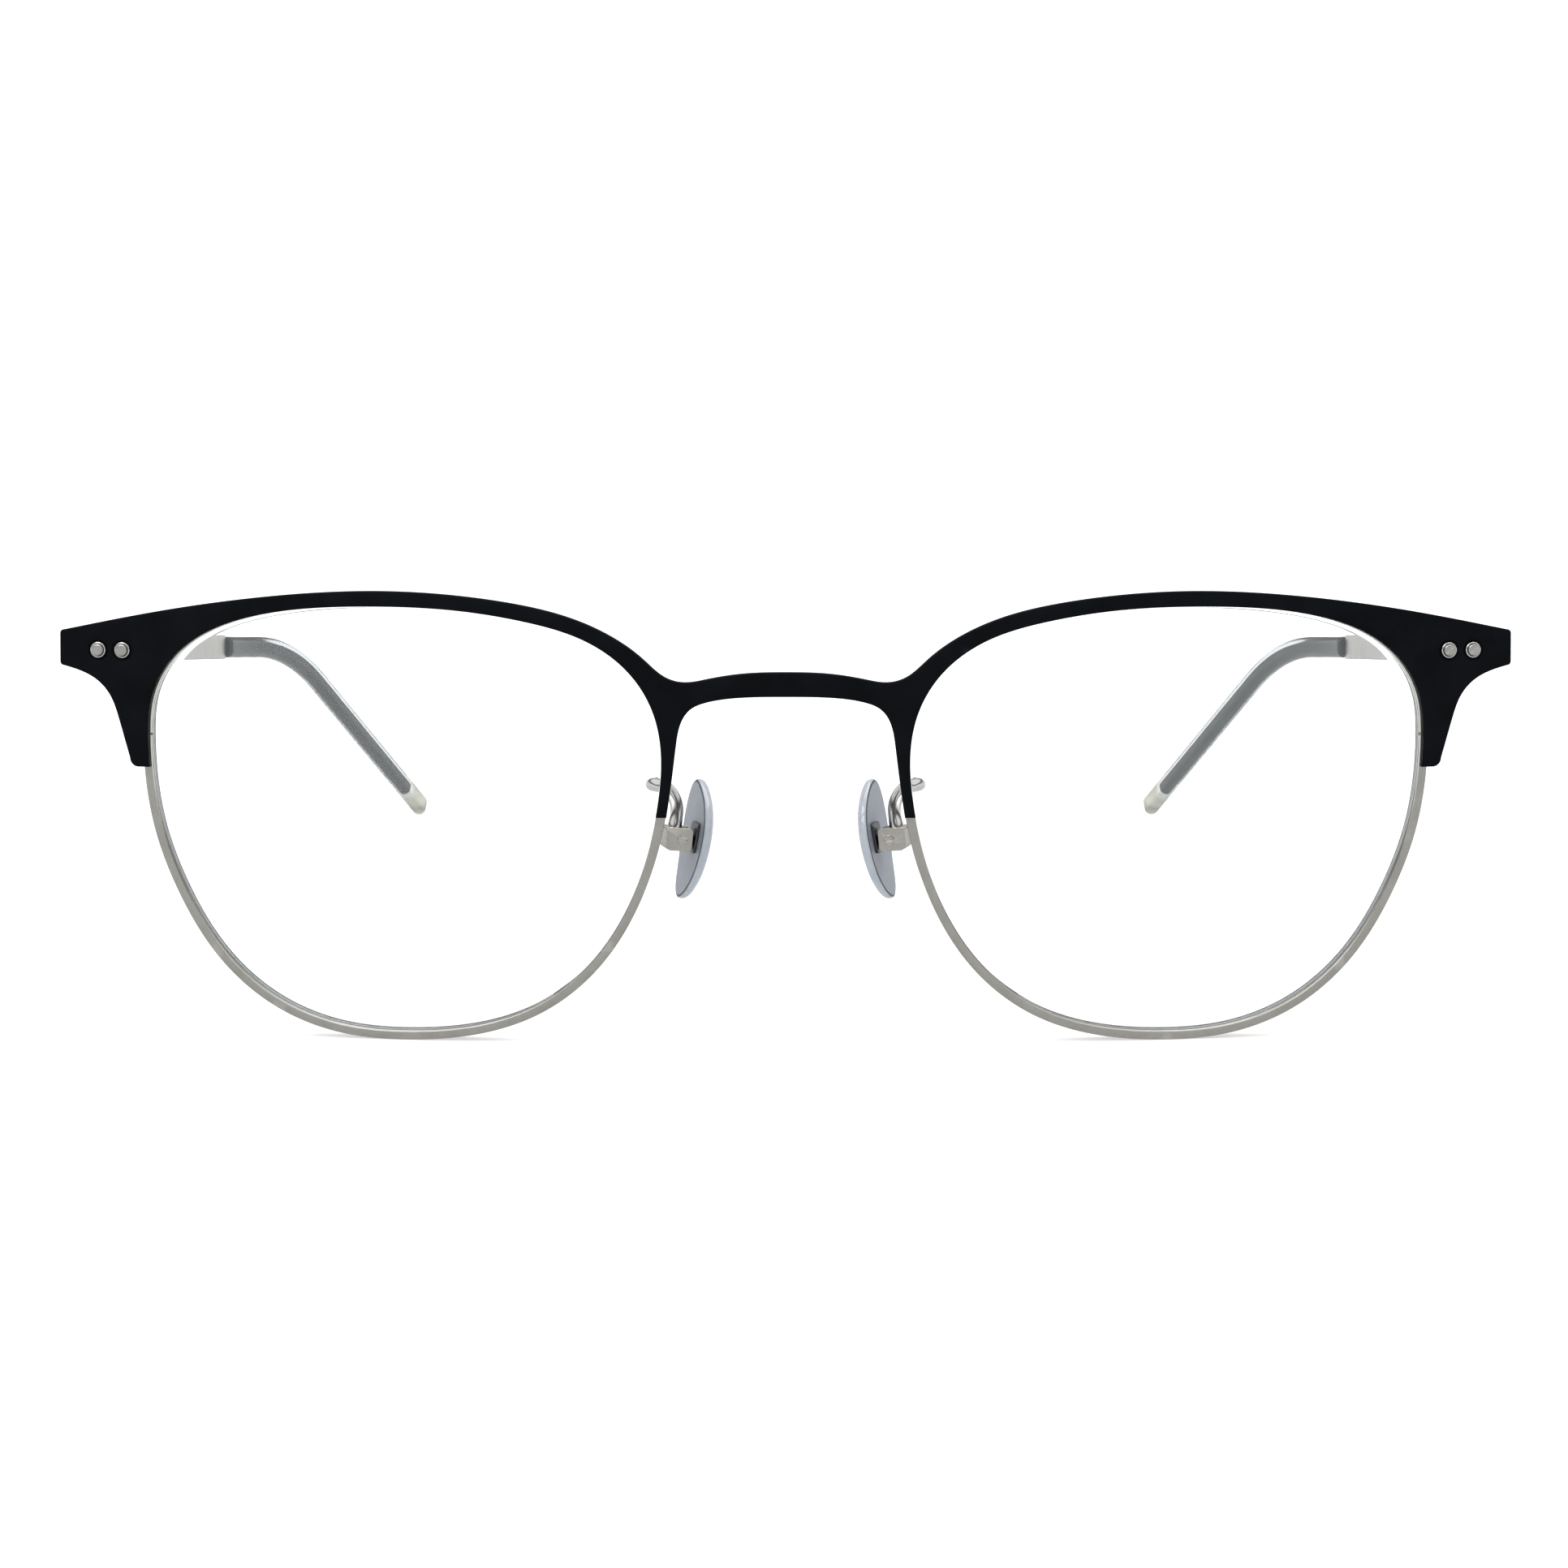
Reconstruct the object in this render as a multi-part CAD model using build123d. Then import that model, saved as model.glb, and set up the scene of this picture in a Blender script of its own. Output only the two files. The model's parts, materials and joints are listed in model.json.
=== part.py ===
from build123d import *
import math
import os

# Spectacles with a black metal brow plate riveted in front of two thin full rims.
# Frame of reference while modelling: X across the face, wearer's left is +X.
# Y runs from the front of the bridge back along the temples, Z is up from the table.
# Everything is drawn on the wearer's left side and mirrored for the right side.

os.makedirs("parts", exist_ok=True)

# --- front curve ---
FRONT_RADIUS = 330.0  # sphere that the front of the brow plate lies on
FRONT_MID_Z = 21.0  # height of the sphere's centre
PLATE_THICK = 1.0
RIM_WIDTH = 0.86  # face width of the rims
RIM_DEPTH = 2.4  # rim, from the back of the brow plate backwards
LENS_THICK = 1.5
GROOVE_DEPTH = 0.38
GROOVE_WIDTH = 0.64
BEVEL_GAP = 0.03  # play of the lens bevel in the groove

# --- endpieces ---
RIVETS = [(65.74, 38.1), (68.30, 38.1)]
PIN_R = 0.57
COLLAR_R = 0.77
COLLAR_GAP = 0.05
RECESS_R = 1.0
RECESS_DEPTH = 0.12
PIN_PROUD = 0.32
LEAF_THICK = 0.9
LOCK_X = 64.5
SLIT_Z = 29.7
LOCK_BOTTOM = 27.9
LOCK_TOP = 31.6
LOCK_OUTER_X = 65.15
LOCK_SCREW_R = 0.3
LOCK_HEAD_R = 0.52

# --- hinge ---
HINGE_X = 66.0
HINGE_Y = 11.0
HINGE_Z = 37.62
BARREL_R = 1.15
BARREL_HALF = 1.65
MID_BARREL_HALF = 0.52
BARREL_GAP = 0.06
PIN_SHAFT_R = 0.55
PIN_HOLE_R = 0.60

# --- temples ---
TEMPLE_TILT = 7.1  # slope of the temples down to the rear
TEMPLE_TOP_Z = 38.918  # height of the temple line at Y = 0
TEMPLE_X = 68.05
TEMPLE_START = 10.15
STRIP_THICK = 0.9
STRIP_FRONT_H = 3.0
STRIP_REAR_H = 2.7
SPLAY_FRONT = 2.5  # inward lean of the straight part
SPLAY_REAR = 17.0  # inward lean of the ear end
BOW_START = 76.0
BOW_END = 96.0
EAR_RADIUS = 40.0
EAR_DROP = 26.0
STRIP_END = 84.1
SLEEVE_START = 85.4
CORE_END = 140.0
TIP_END = 145.16
SLEEVE_THICK = 1.8
SLEEVE_H = 2.4
CORE_THICK = 0.8
CORE_H = 1.05

# --- nose pads ---
PAD_SPLAY = 17.0  # lean of the pad seen from above
BOX_FLARE = 6.0  # lean of the pad box seen from the front
PAD_FLARE = 11.0  # lean of the pad seen from the front
PAD_PIVOT = (10.43, 8.4, 18.95)
PAD_OFFSET = 2.275  # from the pad screw to the middle of the pad's thickness
PAD_THICK = 1.35
ARM_R = 0.64


# ------------------------------------------------------------ front helpers

def at_depth(y):
    """Maps a point of the flat outline to the plane at depth y, along lines to the sphere's centre."""
    k = (FRONT_RADIUS - y) / FRONT_RADIUS
    return lambda x, z: Vector(k * x, y, FRONT_MID_Z + k * (z - FRONT_MID_Z))


def radial_prism(outline, front=-2.0, back=16.0):
    """Solid whose walls all point at the centre of the front sphere."""
    wires = [Wire(outline(at_depth(y))) for y in (front, back)]
    return Solid.make_loft(wires, ruled=True)


def front_ball(depth):
    """Sphere concentric with the front, set back by depth."""
    return Pos(0, FRONT_RADIUS, FRONT_MID_Z) * Sphere(FRONT_RADIUS - depth)


def shell_cut(shape, near, far):
    """Part of the shape between two depths below the front sphere."""
    return (shape & front_ball(near)) - front_ball(far)


def on_front(x, z, depth=0.0):
    """Point under outline point (x, z), depth below the front sphere."""
    ray = Vector(x, -FRONT_RADIUS, z - FRONT_MID_Z).normalized()
    centre = Vector(0, FRONT_RADIUS, FRONT_MID_Z)
    return centre + ray * (FRONT_RADIUS - depth)


def stud(x, z, radius, near, far):
    """Cylinder square to the front at outline point (x, z), between two depths."""
    foot = on_front(x, z, far)
    ray = Vector(x, -FRONT_RADIUS, z - FRONT_MID_Z).normalized()
    return Plane(foot, z_dir=ray) * Cylinder(
        radius, far - near, align=(Align.CENTER, Align.CENTER, Align.MIN)
    )


# ------------------------------------------------------------ outlines

LENS_POINTS = [
    (63.12, 29.5), (62.75, 33.3), (61.3, 36.4), (58.4, 39.15), (53.7, 41.2),
    (47.5, 42.3), (40.5, 42.6), (32.5, 42.3), (25.0, 41.15), (19.3, 39.35),
    (15.2, 36.4), (12.78, 32.5), (12.05, 29.2), (12.0, 26.6), (12.35, 23.4),
    (13.15, 19.3), (15.35, 13.2), (19.2, 7.4), (24.9, 3.03), (31.1, 1.0),
    (37.5, 0.4), (44.0, 0.88), (50.3, 3.2), (55.7, 7.7), (59.75, 14.16),
    (62.0, 20.1),
]

BROW_TOP = [
    (0.0, 36.4), (3.7, 36.3), (7.6, 35.72), (9.9, 35.42), (11.5, 35.85),
    (13.6, 37.55), (17.0, 39.95), (20.9, 41.65), (26.8, 43.05), (32.7, 43.8),
    (38.7, 44.12), (44.8, 44.0), (53.0, 43.3), (61.5, 42.1), (72.0, 40.1),
]

ENDPIECE_LOWER = [
    (72.0, 36.5), (70.2, 35.98), (68.4, 35.05), (67.0, 33.45), (66.3, 31.7),
    (65.6, 29.3), (65.05, 27.4),
]

BRIDGE_LOWER = [
    (0.0, 34.03), (4.2, 33.95), (7.5, 33.5), (9.2, 32.75), (10.1, 31.4),
    (10.55, 29.3), (10.95, 26.1), (11.5, 22.3),
]

PAD_OUTLINE = [
    (3.3, 5.75), (1.6, 5.45), (-0.3, 4.45), (-1.75, 2.95), (-2.5, 0.9),
    (-2.35, -1.2), (-1.55, -3.2), (-0.1, -4.9), (1.6, -5.95), (2.9, -6.1),
    (3.75, -5.3), (4.15, -3.9), (4.5, -1.8), (4.85, 0.6), (4.98, 2.6),
    (4.75, 4.3), (4.2, 5.3),
]  # distance to the rear and height from the pad screw

TEMPORAL_CUT = 26.5  # lower end of the plate beside the temple
NASAL_CUT = 22.3  # lower end of the plate beside the nose


def lens_curve(offset):
    """Closed lens outline, moved outwards by offset."""
    base = Edge.make_spline([Vector(x, z) for x, z in LENS_POINTS], periodic=True)
    centre = Vector(37.5, 21.0)
    moved = []
    count = 40
    for i in range(count):
        point = base @ (i / count)
        along = base % (i / count)
        out = Vector(along.Y, -along.X)
        if out.dot(point - centre) < 0:
            out = -out
        moved.append(point + out * offset)

    def outline(place):
        return [Edge.make_spline([place(p.X, p.Y) for p in moved], periodic=True)]

    return outline


def brow_curve(place):
    """Outline of the whole brow plate, with the lens side left closed."""

    def both_sides(points):
        half = [(-x, z) for x, z in reversed(points)] + points[1:]
        return Edge.make_spline([place(x, z) for x, z in half])

    def arc(a, b, c):
        return Edge.make_three_point_arc(place(*a), place(*b), place(*c))

    def line(a, b):
        return Edge.make_line(place(*a), place(*b))

    edges = [both_sides(BROW_TOP), both_sides(BRIDGE_LOWER)]
    for s in (1, -1):
        side = [place(s * x, z) for x, z in ENDPIECE_LOWER]
        edges.append(arc((s * 72.0, 40.1), (s * 72.3, 39.98), (s * 72.4, 39.7)))
        edges.append(line((s * 72.4, 39.7), (s * 72.4, 36.9)))
        edges.append(arc((s * 72.4, 36.9), (s * 72.3, 36.63), (s * 72.0, 36.5)))
        edges.append(Edge.make_spline(side))
        edges.append(arc((s * 65.05, 27.4), (s * 64.78, 26.75), (s * 64.2, TEMPORAL_CUT)))
        edges.append(line((s * 64.2, TEMPORAL_CUT), (s * 57.0, TEMPORAL_CUT)))
        edges.append(line((s * 57.0, TEMPORAL_CUT), (s * 18.0, NASAL_CUT)))
        edges.append(line((s * 18.0, NASAL_CUT), (s * 11.5, NASAL_CUT)))
    return edges


def rectangle_curve(x0, z0, x1, z1):
    """Plain rectangle in outline coordinates."""

    def outline(place):
        corners = [place(x0, z0), place(x1, z0), place(x1, z1), place(x0, z1)]
        return [Edge.make_line(corners[i], corners[(i + 1) % 4]) for i in range(4)]

    return outline


def mirrored(shape):
    return mirror(shape, about=Plane.YZ)


# ------------------------------------------------------------ front pieces

def brow_front():
    plate = shell_cut(radial_prism(brow_curve), 0.0, PLATE_THICK)
    opening = radial_prism(lens_curve(0.0))
    plate = plate - opening - mirrored(opening)
    for x, z in RIVETS:
        for s in (1, -1):
            plate = plate - stud(s * x, z, RECESS_R, -0.5, RECESS_DEPTH)
            plate = plate - stud(s * x, z, PIN_R, -0.5, PLATE_THICK + 0.5)
    return plate


def eyewire():
    """Full rim behind the plate: grooved inside, slit where the lock closes it."""
    rim = radial_prism(lens_curve(RIM_WIDTH)) - radial_prism(lens_curve(0.0))
    rim = shell_cut(rim, PLATE_THICK, PLATE_THICK + RIM_DEPTH)
    middle = PLATE_THICK + RIM_DEPTH / 2
    groove = radial_prism(lens_curve(GROOVE_DEPTH))
    groove = shell_cut(groove, middle - GROOVE_WIDTH / 2, middle + GROOVE_WIDTH / 2)
    slit = radial_prism(rectangle_curve(61.5, SLIT_Z - 0.06, 65.5, SLIT_Z + 0.06))
    return rim - groove - slit


def lens():
    middle = PLATE_THICK + RIM_DEPTH / 2
    body = radial_prism(lens_curve(-BEVEL_GAP))
    body = shell_cut(body, middle - LENS_THICK / 2, middle + LENS_THICK / 2)
    half = GROOVE_WIDTH / 2 - BEVEL_GAP
    bevel = radial_prism(lens_curve(GROOVE_DEPTH - BEVEL_GAP))
    bevel = shell_cut(bevel, middle - half, middle + half)
    return body + bevel


def lock_screw_axis(z):
    """Point on the rim lock's screw axis at height z."""
    middle = on_front(LOCK_X, SLIT_Z, PLATE_THICK + 1.1)
    return Vector(middle.X, middle.Y, z)


def lock_screw():
    bottom = on_front(LOCK_X, LOCK_BOTTOM, PLATE_THICK + 1.1).Z
    top = on_front(LOCK_X, LOCK_TOP, PLATE_THICK + 1.1).Z
    shaft = Pos(lock_screw_axis(bottom)) * Cylinder(
        LOCK_SCREW_R, top - bottom, align=(Align.CENTER, Align.CENTER, Align.MIN)
    )
    head = Pos(lock_screw_axis(bottom - 0.45)) * Cylinder(
        LOCK_HEAD_R, 0.45, align=(Align.CENTER, Align.CENTER, Align.MIN)
    )
    slot = Pos(lock_screw_axis(bottom - 0.45)) * Box(1.6, 0.18, 0.36)
    return shaft + head - slot


def lock_block(low, high):
    """Half of the lock that draws the rim together, brazed to the rim's outer side."""
    block = radial_prism(rectangle_curve(63.0, low, LOCK_OUTER_X, high))
    block = shell_cut(block, PLATE_THICK, PLATE_THICK + 2.2)
    block = block - radial_prism(lens_curve(RIM_WIDTH))
    bore = Pos(lock_screw_axis(25.0)) * Cylinder(
        LOCK_SCREW_R, 12.0, align=(Align.CENTER, Align.CENTER, Align.MIN)
    )
    bottom = on_front(LOCK_X, LOCK_BOTTOM, PLATE_THICK + 1.1).Z
    head_room = Pos(lock_screw_axis(bottom - 1.0)) * Cylinder(
        LOCK_HEAD_R, 1.0, align=(Align.CENTER, Align.CENTER, Align.MIN)
    )
    return block - bore - head_room


def rivet_pins():
    leaf_back = PLATE_THICK + LEAF_THICK
    pins = []
    for x, z in RIVETS:
        pin = stud(x, z, PIN_R, -PIN_PROUD, leaf_back - 0.25)
        pin = chamfer(pin.edges().sort_by(Axis.Y)[0:1], 0.06)
        pins.append(pin)
    return Compound(children=pins)


def rivet_collars():
    rings = []
    for x, z in RIVETS:
        ring = stud(x, z, COLLAR_R, -0.05, RECESS_DEPTH)
        ring = ring - stud(x, z, PIN_R + COLLAR_GAP, -0.5, 0.5)
        rings.append(ring)
    return Compound(children=rings)


# ------------------------------------------------------------ hinge

def barrel(low, high, hole):
    """Knuckle of the hinge between two heights about the hinge centre."""
    ring = Cylinder(BARREL_R, high - low, align=(Align.CENTER, Align.CENTER, Align.MIN))
    bore = Cylinder(hole, high - low + 2, align=(Align.CENTER, Align.CENTER, Align.MIN))
    return Pos(HINGE_X, HINGE_Y, HINGE_Z + low) * (ring - Pos(0, 0, -1) * bore)


def hinge_front():
    """Leaf riveted behind the endpiece, with the upper and lower barrel."""
    leaf = radial_prism(rectangle_curve(64.6, 36.5, 69.75, 39.7))
    leaf = shell_cut(leaf, PLATE_THICK, PLATE_THICK + LEAF_THICK)
    low = MID_BARREL_HALF + BARREL_GAP
    for a, b in ((low, BARREL_HALF), (-BARREL_HALF, -low)):
        web = Pos(HINGE_X, HINGE_Y - 1.25, HINGE_Z + (a + b) / 2) * Box(1.9, 2.5, b - a)
        bore = Pos(HINGE_X, HINGE_Y, HINGE_Z) * Cylinder(PIN_SHAFT_R, 6)
        web = web - front_front_block() - bore
        leaf = leaf + web + barrel(a, b, PIN_SHAFT_R)
    for x, z in RIVETS:
        leaf = leaf - stud(x, z, PIN_R, -1.0, PLATE_THICK + LEAF_THICK - 0.25)
    return leaf


def front_front_block():
    """Everything in front of the back face of the plate, near the endpiece."""
    return Pos(60, -20, 38) * Box(60, 60, 20) - front_ball(PLATE_THICK)


def hinge_screw():
    shaft = Pos(HINGE_X, HINGE_Y, HINGE_Z - BARREL_HALF) * Cylinder(
        PIN_SHAFT_R, 2 * BARREL_HALF, align=(Align.CENTER, Align.CENTER, Align.MIN)
    )
    head = Pos(HINGE_X, HINGE_Y, HINGE_Z + BARREL_HALF) * Cylinder(
        0.95, 0.42, align=(Align.CENTER, Align.CENTER, Align.MIN)
    )
    head = chamfer(head.edges().group_by(Axis.Z)[-1], 0.12)
    slot = Pos(HINGE_X, HINGE_Y, HINGE_Z + BARREL_HALF + 0.42) * Rot(0, 0, 25) * Box(3, 0.28, 0.4)
    return shaft + head - slot


# ------------------------------------------------------------ temples

def temple_place():
    """Frame of the temples: its Y runs along the temple line, which falls to the rear."""
    return Pos(0, 0, TEMPLE_TOP_Z) * Rot(-TEMPLE_TILT, 0, 0)


def bow_radius():
    a, b = math.radians(SPLAY_FRONT), math.radians(SPLAY_REAR)
    return (BOW_END - BOW_START) / (math.sin(b) - math.sin(a))


def temple_point(w):
    """Point of the temple's centre line at distance w back, with its splay and drop angles."""
    a, b = math.radians(SPLAY_FRONT), math.radians(SPLAY_REAR)
    rho = bow_radius()
    x = TEMPLE_X - (min(w, BOW_START) - TEMPLE_START) * math.tan(a)
    if w <= BOW_START:
        return Vector(x, w, 0)
    reach = min(w, BOW_END) - BOW_START
    c = math.asin(math.sin(a) + reach / rho)
    x = x - rho * (math.cos(a) - math.cos(c))
    if w <= BOW_END:
        return Vector(x, w, 0)
    x = x - (w - BOW_END) * math.tan(b)
    run = (w - BOW_END) / math.cos(b)
    drop = math.radians(EAR_DROP)
    bend_run = EAR_RADIUS * math.sin(drop)
    if run <= bend_run:
        return Vector(x, w, -(EAR_RADIUS - math.sqrt(EAR_RADIUS**2 - run**2)))
    fall = EAR_RADIUS * (1 - math.cos(drop)) + (run - bend_run) * math.tan(drop)
    return Vector(x, w, -fall)


def ear_w(share):
    """Distance back of the point that lies at a share of the ear bend's angle."""
    run = EAR_RADIUS * math.sin(math.radians(EAR_DROP) * share)
    return BOW_END + run * math.cos(math.radians(SPLAY_REAR))


def ear_path(start, end):
    """Centre line from inside the bow, round the ear bend, to the given end."""
    mid = (start + BOW_END) / 2
    edges = [
        Edge.make_three_point_arc(
            temple_point(start), temple_point(mid), temple_point(BOW_END)
        ),
        Edge.make_three_point_arc(
            temple_point(BOW_END), temple_point(ear_w(0.5)), temple_point(ear_w(1.0))
        ),
        Edge.make_line(temple_point(ear_w(1.0)), temple_point(end)),
    ]
    return Wire(edges)


def ear_sweep(start, end, thick, high, corner):
    """Rounded bar swept along the ear end of the temple."""
    path = ear_path(start, end)
    heading = path % 0
    plane = Plane(path @ 0, x_dir=(0, 0, 1), z_dir=heading)
    section = plane * RectangleRounded(high, thick, corner)
    return sweep(section, path=path, transition=Transition.RIGHT)


def temple_strip():
    """Flat metal strip from the hinge to the ferrule, tapering to the rear."""
    half = STRIP_THICK / 2
    mid = (BOW_START + STRIP_END) / 2
    side = []
    for s in (1, -1):
        pts = []
        for w in (TEMPLE_START, BOW_START, mid, STRIP_END):
            point = temple_point(w)
            ahead = temple_point(w + 0.01) - temple_point(w - 0.01)
            out = Vector(ahead.Y, -ahead.X).normalized()
            pts.append(Vector(point.X, point.Y) + out * s * half)
        side.append(pts)
    outer, inner = side
    band = Face(Wire([
        Edge.make_line(outer[0], outer[1]),
        Edge.make_three_point_arc(outer[1], outer[2], outer[3]),
        Edge.make_line(outer[3], inner[3]),
        Edge.make_three_point_arc(inner[3], inner[2], inner[1]),
        Edge.make_line(inner[1], inner[0]),
        Edge.make_line(inner[0], outer[0]),
    ]))
    band = Pos(0, 0, -5) * extrude(band, 10, dir=(0, 0, 1))
    a, b = STRIP_FRONT_H / 2, STRIP_REAR_H / 2
    front, back = TEMPLE_START - 2, STRIP_END + 2
    profile = Face(Wire.make_polygon([
        Vector(55, front, a), Vector(55, back, b), Vector(55, back, -b), Vector(55, front, -a),
    ]))
    strip = band & extrude(profile, 20, dir=(1, 0, 0))
    front_edges = strip.edges().filter_by(Axis.X, tolerance=5).group_by(Axis.Y)[0]
    strip = fillet(front_edges, 0.5)
    return temple_place() * strip


def temple_core():
    """Dark end wire that runs on from the strip inside the ferrule and sleeve."""
    return temple_place() * ear_sweep(STRIP_END, CORE_END, CORE_THICK, CORE_H, 0.3)


def temple_ferrule(core):
    """Short dark collar between the strip and the sleeve."""
    collar = ear_sweep(STRIP_END, SLEEVE_START + 3.0, SLEEVE_THICK, SLEEVE_H, 0.75)
    ahead = temple_point(SLEEVE_START + 0.01) - temple_point(SLEEVE_START - 0.01)
    plane = Plane(temple_point(SLEEVE_START), z_dir=ahead)
    rest = plane * Box(20, 20, 20, align=(Align.CENTER, Align.CENTER, Align.MIN))
    return temple_place() * (collar - rest) - core


def temple_sleeve(core):
    """Translucent tip that hooks behind the ear."""
    sleeve = ear_sweep(SLEEVE_START, TIP_END, SLEEVE_THICK, SLEEVE_H, 0.75)
    tip = temple_point(TIP_END)
    tip_edges = [e for e in sleeve.edges() if (e.center() - tip).length < 2.0]
    sleeve = fillet(tip_edges, 0.6)
    return temple_place() * sleeve - core


def hinge_temple(strip):
    """Leaf on the inner face of the strip, carrying the middle barrel."""
    low, high = -MID_BARREL_HALF, MID_BARREL_HALF
    x_mid = (HINGE_X + 0.75 + TEMPLE_X) / 2
    wide = TEMPLE_X - (HINGE_X + 0.75)
    leaf = temple_place() * Pos(x_mid, HINGE_Y + 3.55, 0) * Box(wide, 4.2, 2.7)
    arm = Pos(HINGE_X + 0.93, HINGE_Y + 1.05, HINGE_Z) * Box(0.76, 2.1, high - low)
    bore = Pos(HINGE_X, HINGE_Y, HINGE_Z) * Cylinder(PIN_HOLE_R, 6)
    leaf = leaf + arm - bore
    leaf = leaf + barrel(low, high, PIN_HOLE_R)
    return leaf - strip


# ------------------------------------------------------------ nose pads

def box_place():
    """Frame of a pad box: Y runs along the pad screw, Z up, -X to the nose."""
    return Pos(*PAD_PIVOT) * Rot(0, 0, -PAD_SPLAY) * Rot(0, -BOX_FLARE, 0)


def pad_place():
    """Frame of a nose pad, turned about the pad screw to follow the side of the nose."""
    return Pos(*PAD_PIVOT) * Rot(0, 0, -PAD_SPLAY) * Rot(0, -PAD_FLARE, 0)


def pad_block():
    """Outer size of the pad box before it is slotted."""
    return Pos(0.325, 0, 0.05) * Box(2.75, 2.4, 2.25)


def pad_box():
    """Small saddle at the arm's end: two cheeks joined on the lens side."""
    box = pad_block()
    upright = box.edges().filter_by(Axis.Y).sort_by(Axis.X)
    nose_side = ShapeList(upright[:2])
    lens_side = ShapeList(upright[2:]).sort_by(Axis.Z)
    box = fillet(nose_side, 0.35)
    box = fillet(nearest_edges(box, lens_side[0]), 0.65)
    box = fillet(nearest_edges(box, lens_side[1]), 0.25)
    slot = Pos(-1.5, 0, 0) * Box(4.5, 0.84, 4)
    hole = Rot(90, 0, 0) * Cylinder(0.35, 5)
    return box - slot - hole


def nearest_edges(shape, old_edge):
    """The shape's edge that lies where the old edge was."""
    return shape.edges().sort_by_distance(old_edge.center())[:1]


def pad_screw():
    shaft = Rot(90, 0, 0) * Cylinder(0.35, 2.4)
    head = Pos(0, -1.2 - 0.08, 0) * Rot(90, 0, 0) * Cylinder(0.52, 0.16)
    slot = Pos(0, -1.36, 0) * Box(1.4, 0.16, 0.14)
    return shaft + head - slot


def pad_insert():
    """Tab that turns on the pad screw, with a plate sunk in the pad's back."""
    tab = Rot(90, 0, 0) * Cylinder(0.62, 0.74)
    neck = Pos(-0.75, 0, 0) * Box(1.5, 0.74, 1.0)
    foot = Pos(-PAD_OFFSET + 0.75, 0, 0.35) * Box(0.45, 2.2, 3.0)
    foot = fillet(foot.edges().filter_by(Axis.X), 0.4)
    hole = Rot(90, 0, 0) * Cylinder(0.40, 5)
    return tab + neck + foot - hole


def nose_pad():
    """Soft D-shaped pad, its curved edge to the front."""
    far = -PAD_OFFSET - PAD_THICK / 2
    rim = Edge.make_spline([Vector(far, y, z) for y, z in PAD_OUTLINE], periodic=True)
    pad = extrude(Face(Wire([rim])), PAD_THICK, dir=(1, 0, 0))
    pad = fillet(pad.edges(), 0.4)
    return pad - pad_insert()


def pad_arm(rim):
    """Gooseneck wire brazed to the rim, looping to the lens side and down to the box."""
    start = on_front(11.75, 24.7, PLATE_THICK + RIM_DEPTH - 0.35)
    end = (box_place() * Pos(0.6, 0, 1.0)).position
    points = [
        start, Vector(12.1, 4.4, 24.78), Vector(12.8, 5.9, 24.75), Vector(12.93, 7.2, 24.6),
        Vector(12.2, 8.4, 24.35), Vector(11.3, 8.75, 23.55), Vector(10.68, 8.65, 22.2), end,
    ]
    path = Edge.make_spline(points, tangents=[Vector(0.1, 0.99, 0.05), Vector(0.15, -0.15, -1)])
    plane = Plane(path @ 0, z_dir=path % 0)
    wire = sweep(plane * Circle(ARM_R), path=path)
    block = box_place() * pad_block()
    return wire - rim - block


# ------------------------------------------------------------ assembly

def left_pieces():
    pad = pad_place()
    saddle = box_place()
    rim = eyewire()
    strip = temple_strip()
    core = temple_core()
    solid_rim = shell_cut(radial_prism(lens_curve(RIM_WIDTH)), PLATE_THICK, PLATE_THICK + RIM_DEPTH)
    return {
        "eyewire": rim,
        "lens": lens(),
        "rim_lock_upper": lock_block(SLIT_Z + 0.08, LOCK_TOP),
        "rim_lock_lower": lock_block(LOCK_BOTTOM, SLIT_Z - 0.08),
        "rim_screw": lock_screw(),
        "rivet_pins": rivet_pins(),
        "rivet_collars": rivet_collars(),
        "hinge_front": hinge_front(),
        "hinge_screw": hinge_screw(),
        "temple": strip,
        "temple_core": core,
        "temple_ferrule": temple_ferrule(core),
        "temple_sleeve": temple_sleeve(core),
        "hinge_temple": hinge_temple(strip),
        "pad_box": saddle * pad_box(),
        "pad_screw": saddle * pad_screw(),
        "pad_insert": pad * pad_insert(),
        "nose_pad": pad * nose_pad(),
        "pad_arm": pad_arm(solid_rim),
    }


pieces = {"brow_front": brow_front()}
for name, shape in left_pieces().items():
    pieces[name + "_left"] = shape
    pieces[name + "_right"] = mirrored(shape)

boxes = [shape.bounding_box() for shape in pieces.values()]
low_y = min(b.min.Y for b in boxes)
high_y = max(b.max.Y for b in boxes)
low_z = min(b.min.Z for b in boxes)
shift = Pos(0, -(low_y + high_y) / 2, -low_z)
print("extent", low_y, high_y, low_z, max(b.max.X for b in boxes), max(b.max.Z for b in boxes))

for name, shape in pieces.items():
    export_step(shift * shape, "parts/" + name + ".step")
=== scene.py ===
"""Spectacles with a matt black brow plate riveted over thin silver rims.

Drawn in the same millimetre layout as the CAD part, on the wearer's left (+X)
side, and mirrored to the right; place() turns millimetres into the row frame.
"""
import json
import math

import bmesh
import bpy
import numpy as np
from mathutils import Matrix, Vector
from mathutils.geometry import delaunay_2d_cdt

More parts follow.
